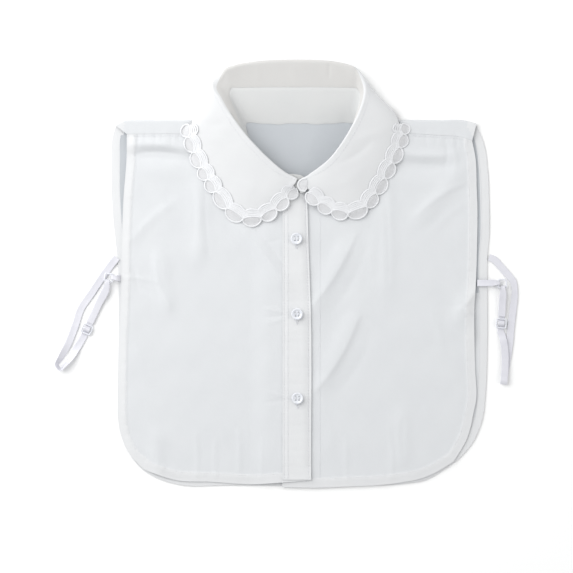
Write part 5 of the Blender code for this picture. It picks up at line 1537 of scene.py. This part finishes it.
# --- side straps ---------------------------------------------------------------------
def make_tape(name, route, solid):
    """A flat satin tape along a route: its width is carried along, level where the
    tape isn't steep, then banked and narrowed as the route says. Its edges are a little
    thicker, as woven ones are, and stand up by TAPE_CUP (share of the half width)^2."""
    rows = np.array(route, float)
    run = np.linalg.norm(np.diff(rows[:, :3], axis=0), axis=1)
    knots = np.concatenate(([0.0], np.cumsum(run))) / run.sum()
    at = [0.0]
    for k, step in enumerate(run):
        cells = 3 + int(step / TAPE_CELL)
        at.extend(knots[k] + (knots[k + 1] - knots[k]) * shares(cells)[1:])
    line = spline_at(rows, knots, at)
    middle, bank = line[:, :3], np.radians(line[:, 3])[:, None]
    along = unit(np.gradient(middle, axis=0))
    across = np.cross(along[0], (0.0, 0.0, 1.0))
    widths = []
    for direction in along:
        across = unit(across - (across @ direction) * direction)
        level = np.cross(direction, (0.0, 0.0, 1.0))
        if np.linalg.norm(level) > TAPE_STEEP:
            across = unit(level) * np.sign(level @ across)
        widths.append(across)
    widths = np.array(widths)
    widths = widths * np.cos(bank) + np.cross(widths, along) * np.sin(bank)
    reach = TAPE_WIDTH / 2 * line[:, 4][:, None]
    places, wall = TAPE_SECTION.T
    face = np.cross(widths, along)
    cup = TAPE_CUP * places ** 2
    grid = (middle[:, None] + places[None, :, None] * (widths * reach)[:, None]
            + cup[None, :, None] * face[:, None])
    finished(shell(name, grid, wall[None, :], TAPE_LOOK), solid)


def rounded_loop(length, width, corner):
    """Points round a rectangle with quarter circles at its corners, about its middle."""
    points = []
    for k, (sx, sy) in enumerate(((1, 1), (-1, 1), (-1, -1), (1, -1))):
        for s in range(LOOP_STEPS + 1):
            angle = math.pi / 2 * (k + s / LOOP_STEPS)
            points.append((sx * (length / 2 - corner) + corner * math.cos(angle),
                           sy * (width / 2 - corner) + corner * math.sin(angle), 0.0))
    return np.array(points)


def placed(points, place, turn):
    """Points turned about Z, in degrees, and moved to a place."""
    a = math.radians(turn)
    x, y = points[:, 0], points[:, 1]
    return np.column_stack((x * math.cos(a) - y * math.sin(a), x * math.sin(a) + y * math.cos(a),
                            points[:, 2])) + np.array(place)


def ring_tube(loop, place, turn, half_side, half_up):
    """A moulded bar round a closed loop, oval in section."""
    line = placed(loop, place, turn)
    heading = unit(np.roll(line, -1, axis=0) - np.roll(line, 1, axis=0))
    up = np.tile((0.0, 0.0, 1.0), (len(line), 1))
    return sweep(line, np.cross(heading, up) * half_side, up * half_up, BAR_SIDES, False)


def make_fittings(name, slider, ring, turn, heading):
    """The ring that joins strap and tab, and the slider: a frame with a middle bar,
    which is slimmer. All the bars are a little flatter than round."""
    size = RING_SIZE - RING_WIRE
    loop = rounded_loop(size, size, RING_CORNER)
    ring_piece = mesh_object("fitting_ring_" + name, *ring_tube(
        loop, ring, turn, RING_WIRE * 0.5, RING_WIRE * 0.46), FITTING_LOOK)
    finished(ring_piece, "ring_" + name)
    length, width = SLIDER_LENGTH - SLIDER_BAR, SLIDER_WIDTH - SLIDER_BAR
    frame_part = ring_tube(rounded_loop(width, length, SLIDER_CORNER), slider, heading,
                           SLIDER_BAR * 0.5, SLIDER_BAR * 0.44)
    bar = placed(np.array([(t * width / 2, 0.0, 0.0) for t in (-1, -0.9, 0, 0.9, 1)]),
                 slider, heading)
    run = unit(np.gradient(bar, axis=0))
    up = np.tile((0.0, 0.0, 1.0), (5, 1))
    bar_part = sweep(bar, np.cross(run, up) * SLIDER_BAR * 0.4, up * SLIDER_BAR * 0.36,
                     BAR_SIDES, True)
    slider_piece = mesh_object("fitting_slider_" + name, *merged([frame_part, bar_part]),
                               FITTING_LOOK)
    finished(slider_piece, "slider_" + name)


# --- stitching -----------------------------------------------------------------------
def seams():
    """Every row of stitches that shows, by the piece that it goes with."""
    lift = SHEET / 2 + 0.1
    rows = {"fronts": [], "placket": [], "collar": [], "back": []}
    for side, cloth in (("left", left_cloth), ("right", right_cloth)):
        inward = -1 if side == "left" else 1
        arm = EDGES[side + "_armhole"]
        rows["fronts"].append(on_cloth(inset(arm, inward * (ARMHOLE_BAND - STITCHES_IN))[3:],
                                       cloth, lift + 0.1))
        hem = EDGES[side + "_hem"]
        line = inset(hem, HEM_BAND - STITCHES_IN)[3:]
        if side == "left":
            line = line[line[:, 0] < PLACKET_LEFT - 0.5]
        else:       # the left front covers the rest
            line = line[line[:, 0] > 26.0][:-3]
        rows["fronts"].append(on_cloth(line, cloth, lift + 0.1))
        seam = inset(EDGES[side + "_seam"], -SEAM_STITCHES)
        rows["fronts"].append(on_cloth(seam, cloth, lift + 0.1))
    far = np.column_stack((np.full(80, FACING_X), np.linspace(-204.0, 76.0, 80)))
    rows["fronts"].append(on_cloth(far, right_cloth, lift))
    y = np.linspace(PLACKET_BOTTOM + 1.0, PLACKET_TOP - 1.0, 120)
    for x in (np.full_like(y, PLACKET_LEFT + 1.6), np.full_like(y, PLACKET_LEFT + 5.4),
              front_edge(y) - 2.4):
        rows["placket"].append(on_cloth(np.column_stack((x, y)), placket_cloth, lift + 0.05))
    between = np.linspace(0.006, 0.994, 260)
    rows["collar"].append(leaf_line(between, LEAF_STITCHES, lift))
    for name, inward in (("back_left", -BACK_STITCHES), ("back_right", BACK_STITCHES)):
        rows["back"].append(on_cloth(inset(EDGES[name], inward)[4:], back_cloth, lift))
    return rows


# --- the whole -----------------------------------------------------------------------
def make_garment():
    """Every piece of the garment."""
    left, right = make_fronts()
    back = make_back()
    band = make_placket()
    leaf = make_leaf()
    stand, stand_ends = make_stand(), make_stand_ends()
    lace = {name: make_lace(name, cusps) for name, cusps in scallop_shares().items()}
    for name, lines in seams().items():
        mesh_object("stitching_" + name, *merged(
            [stitches(line) for line in lines]), THREAD_LOOK)
    button_threads = [make_button(index, x, y) for index, (x, y) in enumerate(BUTTONS, 1)]
    mesh_object("button_threads", *merged(button_threads), THREAD_LOOK)
    holes = mesh_object("buttonholes", *merged(
        [make_buttonhole(x + BUTTONHOLE_SHIFT[0], y + BUTTONHOLE_SHIFT[1])
         for x, y in BUTTONS]), THREAD_LOOK)
    for name, run, slider, ring, turn, tab in STRAPS:
        route = strap_route(run, slider, ring, turn, tab)
        make_tape("tape_strap_" + name, route, "strap_" + name)
        make_tape("tape_tab_" + name, tab_route(ring, turn, tab), "tab_" + name)
        before, after = route[len(run)], route[len(run) + len(SLIDER_PASS) - 1]
        heading = math.degrees(math.atan2(after[1] - before[1], after[0] - before[0])) - 90
        make_fittings(name, slider, ring, turn, heading)
    corner = make_corner()


def make_stage():
    """A plain pale floor, 6 m wide and just under the garment."""
    mesh = bpy.data.meshes.new("floor")
    size, low = 3.0, -0.0004
    mesh.from_pydata([(-size, -size, low), (size, -size, low), (size, size, low),
                      (-size, size, low)], [], [(0, 1, 2, 3)])
    material, tree, shader, place = blank("floor_paper", Roughness=0.9, Specular_IOR_Level=0.1)
    coloured(tree, shader, noise(tree, place, 3.0), (0.955, 0.955, 0.955, 1.0),
             (0.945, 0.945, 0.945, 1.0))
    mesh.materials.append(material)
    new_object("floor", mesh)


def make_light(name, place, size, watts, tint):
    """A soft round area light, aimed at the middle of the table."""
    data = bpy.data.lights.new(name, "AREA")
    data.shape, data.size, data.energy, data.color = "DISK", size, watts, tint
    light = new_object(name, data)
    light.location = place
    light.rotation_euler = (-Vector(place)).to_track_quat("-Z", "Y").to_euler()


def make_camera():
    """A long lens straight above the garment, whose frame is 573 mm wide on the table:
    height = width x lens / sensor."""
    frame_width, frame_y = 0.573, -0.0127
    data = bpy.data.cameras.new("camera")
    data.lens, data.sensor_width = 180.0, 36.0
    camera = new_object("camera", data)
    camera.location = (0.0, frame_y, frame_width * data.lens / data.sensor_width)
    bpy.context.scene.camera = camera


def make_world(strength, tint):
    """An even pale surround that fills the shadows."""
    world = bpy.data.worlds.new("surround")
    bpy.context.scene.world = world
    world.use_nodes = True
    sky = world.node_tree.nodes["Background"]
    sky.inputs["Color"].default_value = (*tint, 1.0)
    sky.inputs["Strength"].default_value = strength


make_garment()
make_stage()
make_light("key", (-0.85, 0.6, 0.85), 1.7, 20.2, (1.0, 0.994, 0.984))
make_light("fill", (1.5, -0.2, 0.9), 1.4, 6.2, (1.0, 0.965, 0.93))
make_world(0.62, (0.975, 0.99, 1.0))
make_camera()
bpy.context.scene.view_settings.view_transform = "Standard"
